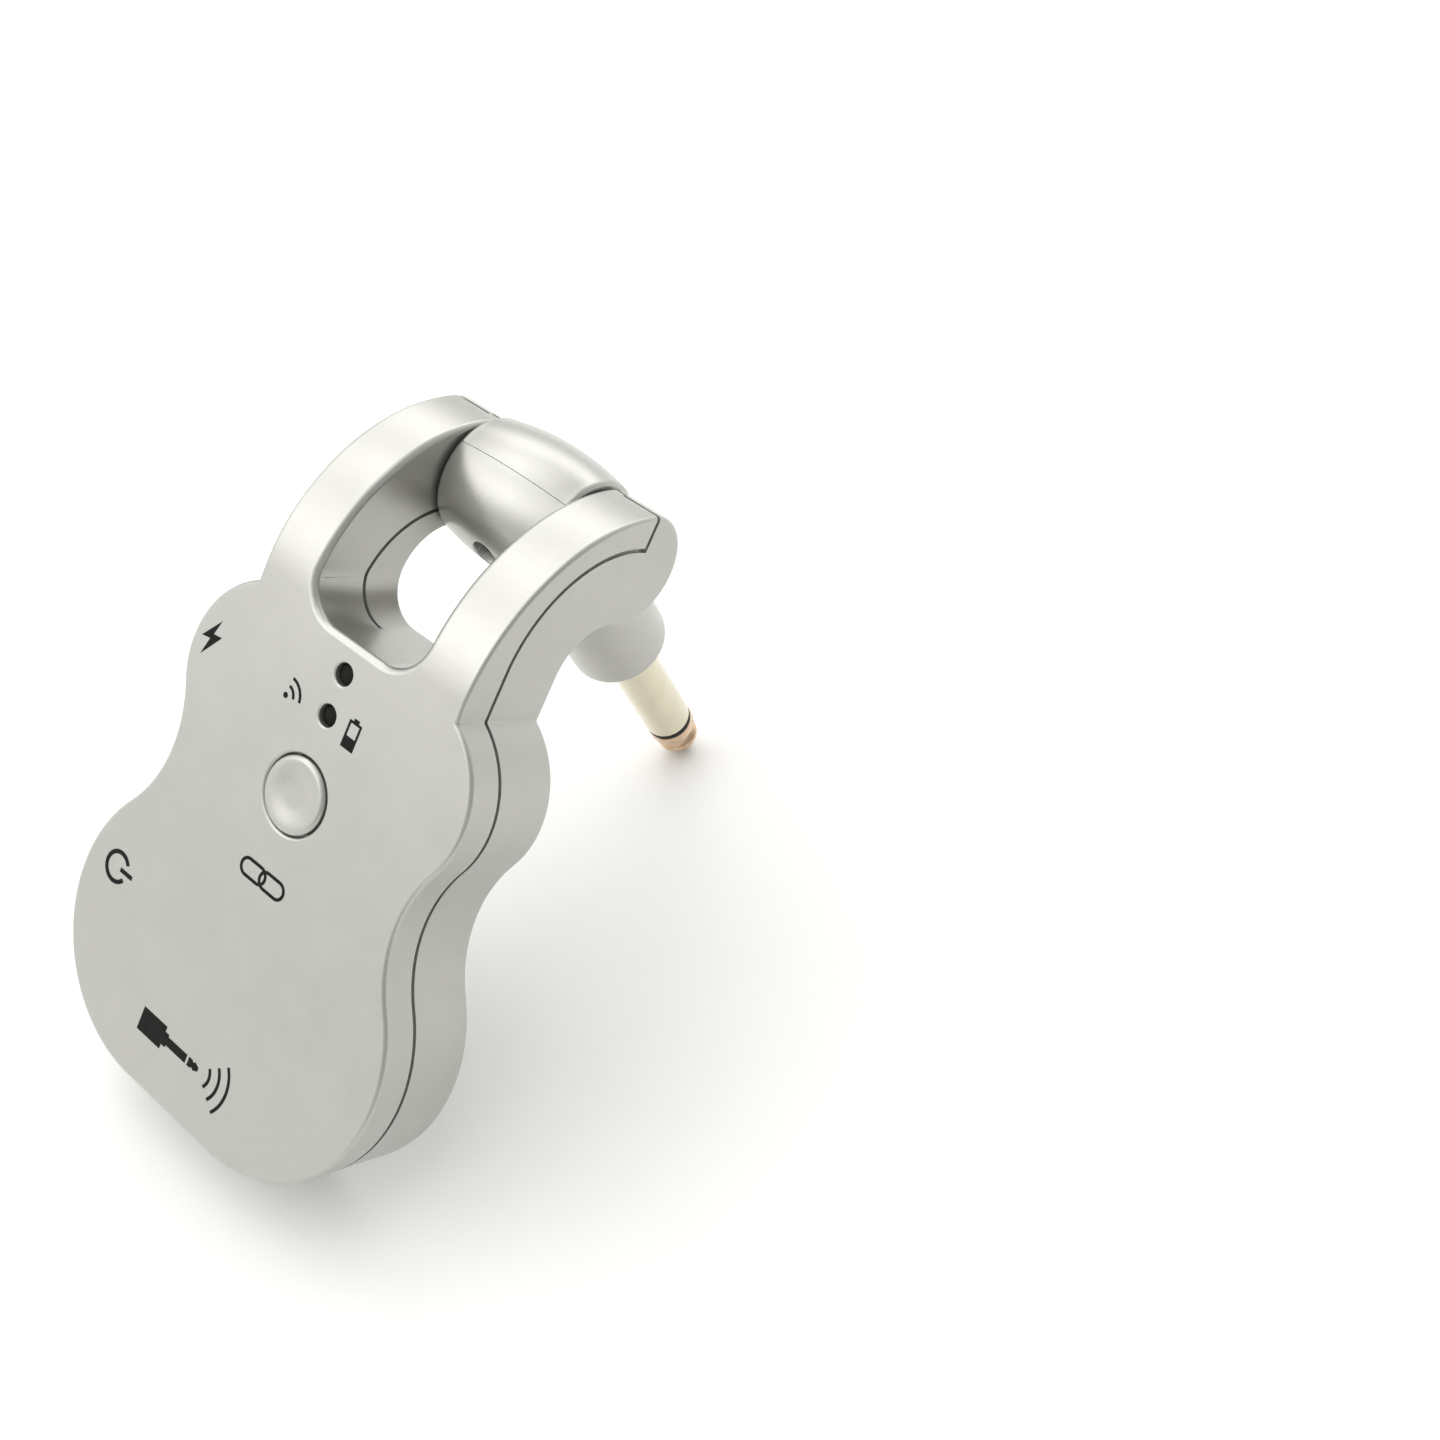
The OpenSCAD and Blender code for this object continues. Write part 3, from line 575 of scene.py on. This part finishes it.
ACETAL = plain_plastic("acetal", (0.80, 0.78, 0.70), (0.74, 0.72, 0.64), 0.38, 0.15, 0.002)
JACKET = plain_plastic("lead_jacket", (0.018, 0.018, 0.020), (0.032, 0.032, 0.034), 0.55, 0.2, 0.010)

SLOT_MATERIALS = {
    "case_paint": PAINT, "nickel": NICKEL, "tip_plate": TIP_PLATE, "black_plastic": BLACK,
    "steel": STEEL, "board": BOARD, "cell_foil": FOIL, "foam": FOAM, "smoked_lens": LENS,
    "led": RESIN, "shield": SHIELD, "ceramic": CERAMIC, "acetal": ACETAL, "bronze": BRONZE,
    "lead_jacket": JACKET,
}

# ---------------------------------------------------------------- camera, light and floor


# where the photo was taken from, in metres and degrees, and its lens in millimetres
CAMERA_AT = (0.11909, -0.08633, 0.19408)
CAMERA_TURN = (42.88, -0.76, 41.78)
CAMERA_LENS = 46.16
SENSOR_WIDTH = 36.0

# soft glows of the room: azimuth and height in degrees, how narrow each is, and its strength
GLOWS = (
    (110, 32, 40, 1.45), (125, 28, 40, 0.70), (140, 32, 40, 1.80), (230, 32, 40, 0.80),
    (140, 54, 40, 0.95), (170, 54, 40, 1.75), (60, 84, 90, 2.20), (90, 20, 5, 0.82),
    (190, 15, 5, 0.30), (225, 45, 5, 1.70),
)
ROOM_LIGHT = 0.54                # the even light that the glows add to
ROOM_COLOUR = (1.0, 1.0, 0.985, 1.0)
FLOOR_HALF = 1.5


def add_camera():
    data = bpy.data.cameras.new("camera")
    data.sensor_width = SENSOR_WIDTH
    data.lens = CAMERA_LENS
    data.clip_end = 20.0
    cam = bpy.data.objects.new("camera", data)
    cam.location = CAMERA_AT
    cam.rotation_euler = [math.radians(a) for a in CAMERA_TURN]
    bpy.context.scene.collection.objects.link(cam)
    bpy.context.scene.camera = cam


def add_floor():
    bm = bmesh.new()
    bmesh.ops.create_grid(bm, x_segments=1, y_segments=1, size=FLOOR_HALF)
    floor = temp(bm, "floor")
    s = Shader("pale_floor")
    s.colour(s.mix(s.spread(s.noise(40.0, 2.0), 0.0, 1.0), (0.95, 0.95, 0.94), (0.93, 0.93, 0.92)))
    s.rough(s.spread(s.noise(1.0, 3.0), 0.55, 0.65))
    s.bumps((s.noise(0.5, 2.0), 0.003))
    floor.data.materials.append(s.material)


def direction(azimuth, height):
    """The direction at an azimuth and a height, both in degrees."""
    a, h = math.radians(azimuth), math.radians(height)
    return Vector((math.cos(a) * math.cos(h), math.sin(a) * math.cos(h), math.sin(h)))


def add_studio():
    """A white room lit by large soft glows, most of them behind the object and to its left."""
    world = bpy.data.worlds.new("studio")
    world.use_nodes = True
    tree = world.node_tree
    way = tree.nodes.new("ShaderNodeTexCoord").outputs["Generated"]

    def maths(operation, *values):
        made = tree.nodes.new("ShaderNodeMath")
        made.operation = operation
        for slot, value in enumerate(values):
            if isinstance(value, bpy.types.NodeSocket):
                tree.links.new(value, made.inputs[slot])
            else:
                made.inputs[slot].default_value = value
        return made.outputs[0]

    total = ROOM_LIGHT
    for azimuth, height, power, strength in GLOWS:
        facing = tree.nodes.new("ShaderNodeVectorMath")
        facing.operation = "DOT_PRODUCT"
        facing.inputs[1].default_value = direction(azimuth, height)
        tree.links.new(way, facing.inputs[0])
        falloff = maths("POWER", maths("MAXIMUM", facing.outputs["Value"], 0.0), power)
        total = maths("MULTIPLY_ADD", falloff, strength, total)
    sky = tree.nodes["Background"]
    tree.links.new(total, sky.inputs["Strength"])
    sky.inputs["Color"].default_value = ROOM_COLOUR
    bpy.context.scene.world = world
    bpy.context.scene.view_settings.view_transform = "Standard"


add_camera()
add_floor()
add_studio()

# ---------------------------------------------------------------- case shells


def case_solid(d=0.0):
    """The case with its arms as one solid, with every surface moved in by d."""
    body = prism(face_outline(d), -45, 5)
    meet(body, prism(side_outline(d), -30, 30, ALONG_X))
    return minus(body, prism(window_outline(d), -50, 10))


def front_zone(back=0.0):
    """Everything in front of the seam, which lies deeper on the window's walls."""
    outer = minus(prism(outer_seam_outline(back), -35, 35, ALONG_X),
                  prism(window_outline(WALL + 0.3), -50, 10))
    inner = meet(prism(window_seam_outline(back), -35, 35, ALONG_X),
                 prism(window_outline(WALL + 0.3), -50, 10))
    return plus(outer, inner)


def seam_groove():
    """A narrow groove that follows the seam; it is closed tight on the window's lower wall."""
    band = minus(front_zone(SEAM_HALF), front_zone(-SEAM_HALF))
    tight = WINDOW_X - WINDOW_R
    minus(band, block((-tight, WINDOW_Y - 3, -CASE_D), (tight, WINDOW_Y + 1, 0)))
    return meet(band, minus(case_solid(-0.5), case_solid(SEAM_DEPTH)))


def port_bar(half, low, high):
    """A bar with round ends along x at the charging port."""
    flat = half[0] - half[1]
    outline = (arc((PORT_Y + flat, PORT_Z), half[1], -90, 90, 10)
               + arc((PORT_Y - flat, PORT_Z), half[1], 90, 270, 10))
    return prism(outline, low, high, ALONG_X)


def switch_opening():
    return block((-27, SWITCH_Y, SWITCH_Z[0]), (-20, SWITCH_Y + SWITCH_LEN, SWITCH_Z[1]))


def pry_notch():
    """A short slot beside the seam at the waist, where the shells are prised apart."""
    return block((-21, 38.6, -SEAM_D - 0.1), (-18.4, 41.4, -3.8))


def bush_seats():
    """Holes through the arms' inner walls for the swivel's bushes."""
    turn = Matrix.Translation((0, AXIS_Y, AXIS_Z)) @ Matrix.Rotation(math.radians(90), 4, "Y")
    middle = WINDOW_X + WALL / 2
    reach = WALL / 2 + 0.35
    return [bar(BUSH_R, side * middle - reach, side * middle + reach, turn) for side in (-1, 1)]


def posts(r, low, high):
    """A bar along z at each of the case's screws."""
    return [bar(r, low, high, Matrix.Translation((x, y, 0)), 48) for x, y in SCREWS]


def on_front(p, tol=0.03):
    """True on the front of the case: its flat face or the arms' outer curve."""
    if p.y < ARM_Y:
        return abs(p.z) < tol
    return p.z > AXIS_Z and abs(math.hypot(p.y - ARM_Y, p.z - ARM_Z) - ARM_R) < tol


def on_back(p, tol=0.03):
    """True on the back of the case: its flat rear, the arms' inner curve and their round ends."""
    if abs(math.hypot(p.y - AXIS_Y, p.z - AXIS_Z) - CAP_R) < tol:
        return True
    if p.y < CROOK_Y:
        return abs(p.z + CASE_D) < tol
    return abs(math.hypot(p.y - CROOK_Y, p.z - AXIS_Z) - CROOK_R) < tol


def is_crease(p):
    """True on the crease where an arm meets its shoulder."""
    y = UPPER[1] + math.sqrt(UPPER[2] ** 2 - (ARM_X - UPPER[0]) ** 2)
    return abs(abs(p.x) - ARM_X) < 0.05 and abs(p.y - y) < 0.05


def case_edge_width(p):
    """Rounding of the case's outer edges."""
    if on_front(p):
        in_window = p.y > WINDOW_Y - 0.2 and abs(p.x) < WINDOW_X + 0.2
        if not in_window:
            return FRONT_EDGE
        near_end = min(1.0, max(0.0, (AXIS_Z + 9.0 - p.z) / 8.0))
        return WINDOW_EDGE + (REAR_EDGE - WINDOW_EDGE) * near_end
    if on_back(p):
        return REAR_EDGE
    return CREASE_EDGE if is_crease(p) else 0.0


def opening_edge_width(p):
    """Rounding round the switch's and the port's openings, on the left side wall."""
    if p.x > -18.5 or p.z < -9.0 or p.y > 55:
        return 0.0
    x, y, r = LOWER if p.y < LOWER[1] + 12 else UPPER
    return OPENING_EDGE if abs(math.hypot(p.x + x, p.y - y) - r) < 0.05 else 0.0


def rounded_hole(r, rounding, place, sides=48):
    """A cutter for a round hole down from z = 0, with the hole's edge rounded."""
    mouth = arc((r + rounding, -rounding), rounding, 180, 90, 18)
    profile = [(0, -HOLE_DEPTH), (r, -HOLE_DEPTH)] + mouth + [(r + rounding, 1.0), (0, 1.0)]
    return lathe(profile, sides, turn=place)


def case_walls():
    """The whole case, hollow, with its openings and rounded edges, before it is split."""
    outer = bevel(clean(case_solid()), case_edge_width)
    button_at = Matrix.Translation((0, BUTTON_Y, 0))
    minus(outer, rounded_hole(BUTTON_HOLE_R, BUTTON_HOLE_EDGE, button_at, 96))
    for y in LED_YS:
        minus(outer, rounded_hole(LED_R, LED_HOLE_EDGE, Matrix.Translation((0, y, 0))))
    for x, y in SCREWS:
        behind = Matrix.Translation((x, y, -CASE_D)) @ Matrix.Rotation(math.pi, 4, "X")
        minus(outer, rounded_hole(COUNTERBORE_R, COUNTERBORE_EDGE, behind))
    minus(outer, port_bar(PORT_HALF, -26, -18), switch_opening(), pry_notch())
    bevel(clean(outer), opening_edge_width)
    room = minus(case_solid(WALL), *posts(REAR_POST_R, WALL - CASE_D - 0.3, BOARD_REAR))
    return minus(outer, room, *bush_seats())


def build_case():
    """The case's two shells, split along the seam, with posts for the screws and the board."""
    front = case_walls()
    rear = copy_of(front)
    groove = seam_groove()
    meet(front, front_zone())
    minus(front, copy_of(groove))
    plus(front, *posts(FRONT_POST_R, BOARD_FRONT, 0.3 - WALL))
    minus(front, *posts(THREAD_HOLE_R, BOARD_FRONT - 1, BOARD_FRONT + 4))
    minus(rear, front_zone())
    minus(rear, groove)
    minus(rear, *posts(SHANK_HOLE_R, -CASE_D - 1, -CASE_D + 8))
    finish_piece(front, "front_cover", CASE, "case", "case_paint", PAINT, "front_shell")
    finish_piece(rear, "rear_cover", CASE, "case", "case_paint", PAINT, "rear_shell")


def cross_slot(half_len, half_width, low, high):
    """A cross-shaped recess for a screwdriver."""
    return [block((-half_len, -half_width, low), (half_len, half_width, high)),
            block((-half_width, -half_len, low), (half_width, half_len, high))]


def build_case_screws():
    """Four screws with tapered heads in the rear shell's counterbores."""
    screws = None
    for x, y in SCREWS:
        one = lathe([(0, -12.0), (1.25, -12.0), (1.6, -11.85), (1.88, -11.0), (1.9, -10.6),
                     (0.8, -10.6), (0.8, -2.6), (0, -2.6)], 48)
        minus(one, *cross_slot(1.05, 0.24, -12.5, -11.2))
        one.data.transform(Matrix.Translation((x, y, 0)))
        screws = one if screws is None else join(screws, one)
    finish_piece(screws, "case_screw_set", CASE, "case", "steel", STEEL, "case_screws")


def build_light_pipes():
    """Two domed windows, each with a collar behind the face."""
    pipes = None
    for y in LED_YS:
        one = lathe([(0, -5.3), (1.18, -5.3), (1.18, -2.3), (1.9, -2.3), (1.9, -1.55),
                     (1.18, -1.55), (1.18, -0.75), (0.98, -0.58), (0.55, -0.47), (0, -0.43)], 48)
        one.data.transform(Matrix.Translation((0, y, 0)))
        pipes = one if pipes is None else join(pipes, one)
    finish_piece(pipes, "indicator_lenses", CASE, "case", "smoked_lens", LENS, "light_pipes")


def build_charging_port():
    """A flat connector: a drawn shell with a rounded lip and a tongue with contacts."""
    shell = minus(port_bar(PORT_SHELL_HALF, -20.2, -13.2), port_bar(PORT_MOUTH_HALF, -21.0, -14.2))
    bevel(shell, lambda p: 0.1 if p.x < -20.1 else 0.0, 3)
    foot = block((-19.0, PORT_Y - 3.6, BOARD_FRONT), (-14.0, PORT_Y + 3.6, PORT_Z - 1.35))
    plus(shell, foot)
    finish_piece(shell, "port_shell", CASE, "case", "steel", STEEL, "charging_port")
    tongue = block((-19.4, PORT_Y - 3.3, PORT_Z - 0.35), (-14.15, PORT_Y + 3.3, PORT_Z + 0.35))
    bevel(tongue, lambda p: 0.12, 3)
    finish_piece(tongue, "port_tongue", CASE, "case", "black_plastic", BLACK)
    contacts = None
    for i in range(6):
        y = PORT_Y - 2.5 + i
        one = block((-19.3, y - 0.16, PORT_Z - 0.39), (-15.0, y + 0.16, PORT_Z + 0.39))
        contacts = one if contacts is None else join(contacts, one)
    finish_piece(contacts, "port_contacts", CASE, "case", "bronze", BRONZE)


# ---------------------------------------------------------------- printed marks


def ink(outline):
    """An inked shape on the face."""
    return prism(outline, 0.0, INK_T)


def ink_line(a, b, width=STROKE):
    """A line with square ends that reach half its width past a and b."""
    along = (Vector(b) - Vector(a)).normalized()
    side = Vector((-along.y, along.x)) * width / 2
    reach = along * width / 2
    a, b = Vector(a) - reach, Vector(b) + reach
    return ink([a + side, a - side, b - side, b + side])


def ink_arc(centre, r, start, end, width=STROKE):
    outer = arc(centre, r + width / 2, start, end, 6)
    inner = arc(centre, r - width / 2, end, start, 6)
    return ink(outer + inner)


def ink_dot(centre, r):
    return ink(arc(centre, r, 0, 352, 8))


def ink_ring(outline, inner):
    """The ink between two outlines."""
    return minus(ink(outline), prism(inner, -1, 1))


def stadium(centre, half_x, half_y):
    """An outline with straight sides and round ends."""
    x, y = centre
    flat = half_x - half_y
    return arc((x + flat, y), half_y, -90, 90, 9) + arc((x - flat, y), half_y, 90, 270, 9)


def charging_mark():
    """A flash of lightning, beside the charging port."""
    return [ink([(-18.5, 53.7), (-20.7, 50.9), (-19.35, 51.15), (-19.95, 48.9),
                 (-17.7, 52.0), (-19.05, 51.8)])]


def power_mark():
    """A ring that is open towards +x, with a bar in its opening."""
    x, y = -20.2, 20.6
    stroke = 0.55
    ring = ink_arc((x, y), 1.8, 32, 328, stroke)
    return [ring, ink_line((x + 0.9, y), (x + 2.5, y), stroke)]


def battery_mark():
    """A battery on end: its case, the charge in it and its contact."""
    case = ink_ring(rectangle((3.1, 50.4), (5.0, 53.6)), rectangle((3.4, 50.7), (4.7, 53.3)))
    charge = ink(rectangle((3.3, 50.6), (4.8, 51.8)))
    contact = ink(rectangle((3.65, 53.5), (4.45, 53.95)))
    return [case, charge, contact]


def waves_mark():
    """Radio waves from a dot, beside the signal lamp's hole."""
    centre = (-6.3, 51.2)
    return [ink_dot(centre, 0.34)] + [ink_arc(centre, r, 5, 85, 0.36) for r in (1.15, 2.15)]


def pairing_mark():
    """Two links of a chain, below the pairing button."""
    y = 31.8
    return [ink_ring(stadium((x, y), 2.15, 1.2), stadium((x, y), 1.75, 0.8)) for x in (-1.35, 1.75)]


def sender_mark():
    """A jack plug that sends out waves, low on the face."""
    y = 7.4
    grip = ink(rectangle((-8.6, y - 1.5), (-4.4, y + 1.5)))
    collar = ink(rectangle((-4.4, y - 0.85), (-3.7, y + 0.85)))
    sleeve = ink(rectangle((-3.7, y - 0.55), (-0.2, y + 0.55)))
    tip_half = [(0.15, 0.55), (0.75, 0.55), (0.95, 0.32), (1.25, 0.55), (1.95, 0.25)]
    tip = ink([(x, y - h) for x, h in tip_half] + [(x, y + h) for x, h in reversed(tip_half)])
    waves = [ink_arc((1.9, y), r, -38, 38, 0.42) for r in (2.0, 3.5, 5.0)]
    return [grip, collar, sleeve, tip] + waves


def build_marks():
    """All the printed marks, as one piece."""
    marks = None
    for group in (charging_mark, power_mark, battery_mark, waves_mark, pairing_mark, sender_mark):
        parts = group()
        whole = plus(parts[0], *parts[1:])
        marks = whole if marks is None else join(marks, whole)
    finish_piece(marks, "printed_marks", CASE, "case", "black_plastic", INK)


# ---------------------------------------------------------------- button and power switch


def build_button():
    """A cap with a rounded rim and a shallow dish, over its flange and stem."""
    rim_x, rim_z = BUTTON_RIM
    rim = [(BUTTON_R + rim_x * (x - 1), BUTTON_TOP + rim_z * (z - 1)) for x, z in arc((0, 0), 1, 0, 90, 10)]
    dish = []
    for r in [3.6 - 0.2 * i for i in range(11)] + [1.3, 0.7, 0.0]:
        t = max(0.0, (r - 1.2) / 2.6)
        rise = t * t * (3 - 2 * t)
        dish.append((r, BUTTON_TOP - BUTTON_DISH * (1 - rise)))
    stem_and_flange = [(0, -2.9), (1.6, -2.9), (1.6, -2.3), (5.4, -2.3), (5.4, -1.7), (BUTTON_R, -1.7)]
    cap = lathe(stem_and_flange + rim + dish, 96, turn=Matrix.Translation((0, BUTTON_Y, 0)))
    finish_piece(cap, "pairing_button", CASE, "pair_button", "case_paint", PAINT, "pair_button")


def rib_bar(y, half, low, high):
    """A rib with round ends, across the knob."""
    top = SWITCH_Z[1] - 0.6 - half
    bottom = SWITCH_Z[0] + 0.6 + half
    outline = arc((y, top), half, 0, 180, 12) + arc((y, bottom), half, 180, 360, 12)
    return prism(outline, low, high, ALONG_X)


def build_knob():
    """The power switch's knob: it follows the case's side and has raised ribs across it."""
    low = SWITCH_Y + SWITCH_GAP
    high = low + SWITCH_LEN - SWITCH_TRAVEL - 2 * SWITCH_GAP
    back = -21.3
    near_side = -22.4                # edges further out than this are rounded
    knob = meet(block((-27, low, SWITCH_Z[0] + SWITCH_GAP), (back, high, SWITCH_Z[1] - SWITCH_GAP)),
                prism(face_outline(0.30), -20, 5))
    bevel(clean(knob), lambda p: 0.25 if p.x < near_side else 0.0, 4, 40.0)
    for i in range(RIBS):
        y = low + 2.35 + RIB_PITCH * i
        rib = meet(rib_bar(y, 0.45, -27, back), prism(face_outline(-0.04), -20, 5))
        bevel(clean(rib), lambda p: 0.16 if p.x < near_side else 0.0, 4, 40.0)
        plus(knob, rib)
    flange = block((near_side, 13.5, -9.4), (back, 22.5, -1.9))
    plus(knob, flange)
    slider_slot = block((-22.3, 16.9, -5.55), (-20, 18.4, -3.95))
    minus(knob, slider_slot)
    finish_piece(knob, "power_knob_cap", CASE, "power_switch", "case_paint", PAINT, "power_knob")


# ---------------------------------------------------------------- barrel and plug

LENGTHWISE = Matrix.Rotation(math.radians(90), 4, "Y")
SIDEWAYS = Matrix.Rotation(math.radians(-90), 4, "X")


def crowned_barrel():
    """The barrel as one solid along x, thickest in the middle, with rounded ends."""
    rise = BARREL_MID_R - BARREL_END_R
    crown_r = (BARREL_HALF ** 2 + rise ** 2) / (2 * rise)
    turn = math.degrees(math.asin((BARREL_HALF - BARREL_EDGE) / crown_r))
    crown = [(BARREL_MID_R - crown_r + r, z) for r, z in arc((0, 0), crown_r, -turn, turn, 2 * turn / 24)]
    edge = arc((crown[-1][0] - BARREL_EDGE, BARREL_HALF - BARREL_EDGE), BARREL_EDGE, 0, 90, 12)[1:]
    profile = ([(0, -BARREL_HALF)] + [(r, -z) for r, z in reversed(edge)] + crown + edge
               + [(0, BARREL_HALF)])
    return lathe(profile, 128, turn=LENGTHWISE)


def boss():
    """The round stem that holds the plug."""
    edge = arc((BOSS_R - BOSS_EDGE, BOSS_END - BOSS_EDGE), BOSS_EDGE, 0, 90, 9)
    return lathe([(0, 0), (BOSS_R, 0)] + edge + [(0, BOSS_END)], 128)


def barrel_room():
    """The hollow inside the barrel, and the holes for its axles."""
    return [bar(BARREL_ROOM_R, -BARREL_ROOM_HALF, BARREL_ROOM_HALF, LENGTHWISE),
            bar(AXLE_R, -15, 15, LENGTHWISE)]


def cover_edge_width(p):
    """Rounds the edge of the screw's hole in the barrel's cover."""
    return 0.2 if math.hypot(p.x, p.z - COVER_SCREW_Z) < 2.0 and p.y > 6.5 else 0.0


def build_barrel():
    """The barrel in two halves: one with the boss, and a cover that is screwed on."""
    body = meet(crowned_barrel(), block((-12, -12, -12), (12, -SPLIT_GAP, 12)))
    plus(body, boss())
    bore = bar(4.6, 2, BOSS_END - 2)
    mouth = bar(3.4, BOSS_END - 4, BOSS_END + 2)
    minus(body, *barrel_room(), bore, mouth)
    finish_piece(body, "swivel_barrel", SWIVEL, "plug_swivel", "case_paint", PAINT, "barrel_body")

    cover = meet(crowned_barrel(), block((-12, SPLIT_GAP, -12), (12, 12, 12)))
    minus(cover, *barrel_room(), bar(BOSS_R + SPLIT_GAP, -0.2, 20, sides=96))
    screw_at = Matrix.Translation((0, 0, COVER_SCREW_Z)) @ SIDEWAYS
    post = bar(2.6, 0.3, 6, screw_at)
    plus(cover, post)
    minus(cover, bar(1.0, -1, 12, screw_at), bar(1.9, COVER_SCREW_SEAT, 12, screw_at))
    bevel(clean(cover), cover_edge_width, 3, 30.0)
    finish_piece(cover, "swivel_cover", SWIVEL, "plug_swivel", "case_paint", PAINT, "barrel_cover")


def build_plug():
    """The plug's sleeve, the black ring, and the tip with its groove and its nose."""
    sleeve = lathe([(2.3, 21), (3.0, 21), (3.0, 27.5), (4.4, 27.5), (4.4, 30.3), (3.38, 30.3),
                    (3.38, BOSS_END - 0.15), (3.30, BOSS_END - 0.06), (PLUG_R, BOSS_END - 0.06),
                    (PLUG_R, RING_BACK - 0.07), (PLUG_R - 0.07, RING_BACK), (2.3, RING_BACK)],
                   128, closed=True)
    finish_piece(sleeve, "plug_shaft", SWIVEL, "plug_swivel", "nickel", NICKEL, "plug_sleeve")

    ring = lathe([(1.2, 20), (2.3, 20), (2.3, RING_BACK), (PLUG_R - 0.06, RING_BACK),
                  (PLUG_R - 0.04, RING_BACK + 0.1), (PLUG_R - 0.04, RING_FRONT - 0.1),
                  (PLUG_R - 0.06, RING_FRONT), (1.2, RING_FRONT)], 128, closed=True)
    finish_piece(ring, "plug_ring", SWIVEL, "plug_swivel", "black_plastic", BLACK, "plug_insulator")

    shoulder = RING_FRONT + 1.9
    ball = arc((2.15, PLUG_END - 3.1), 0.7, -55, 35, 9)
    nose = arc((0.75, PLUG_END - 1.0), 1.0, 35, 90, 9)
    land = [(0, 17.5), (1.2, 17.5), (1.2, RING_FRONT), (PLUG_R - 0.08, RING_FRONT),
            (PLUG_R, RING_FRONT + 0.08), (PLUG_R, shoulder - 0.35)]
    groove = [(PLUG_R - 0.09, shoulder - 0.13), (PLUG_R - 0.30, shoulder), (2.45, shoulder + 0.22),
              (2.12, shoulder + 0.55), (1.97, shoulder + 0.85), (1.97, shoulder + 1.05)]
    tip = lathe(land + groove + ball + nose + [(0, PLUG_END)], 128)
    finish_piece(tip, "plug_point", SWIVEL, "plug_swivel", "tip_plate", TIP_PLATE, "plug_tip")


def build_barrel_screw():
    """The screw that holds the barrel's cover, sunk in its hole."""
    screw = lathe([(0, -7.4), (0.7, -7.4), (0.7, 0), (1.7, 0), (1.65, 0.5), (1.5, 1.0), (1.25, 1.22),
                   (0, 1.3)], 48)
    minus(screw, *cross_slot(0.9, 0.22, 0.6, 3))
    screw.data.transform(Matrix.Translation((0, COVER_SCREW_SEAT, COVER_SCREW_Z)) @ SIDEWAYS)
    finish_piece(screw, "cover_screw", SWIVEL, "plug_swivel", "steel", STEEL, "barrel_screw")


build_case()
build_case_screws()
build_light_pipes()
build_charging_port()
build_marks()
build_button()
build_knob()
build_barrel()
build_plug()
build_barrel_screw()

# ---------------------------------------------------------------- CAD nodes that are carried over

for part in record["subparts"]:
    node = frame["nodes"][part["node"]]
    node.data.materials.clear()
    node.data.materials.append(SLOT_MATERIALS[part["material_slot"]])
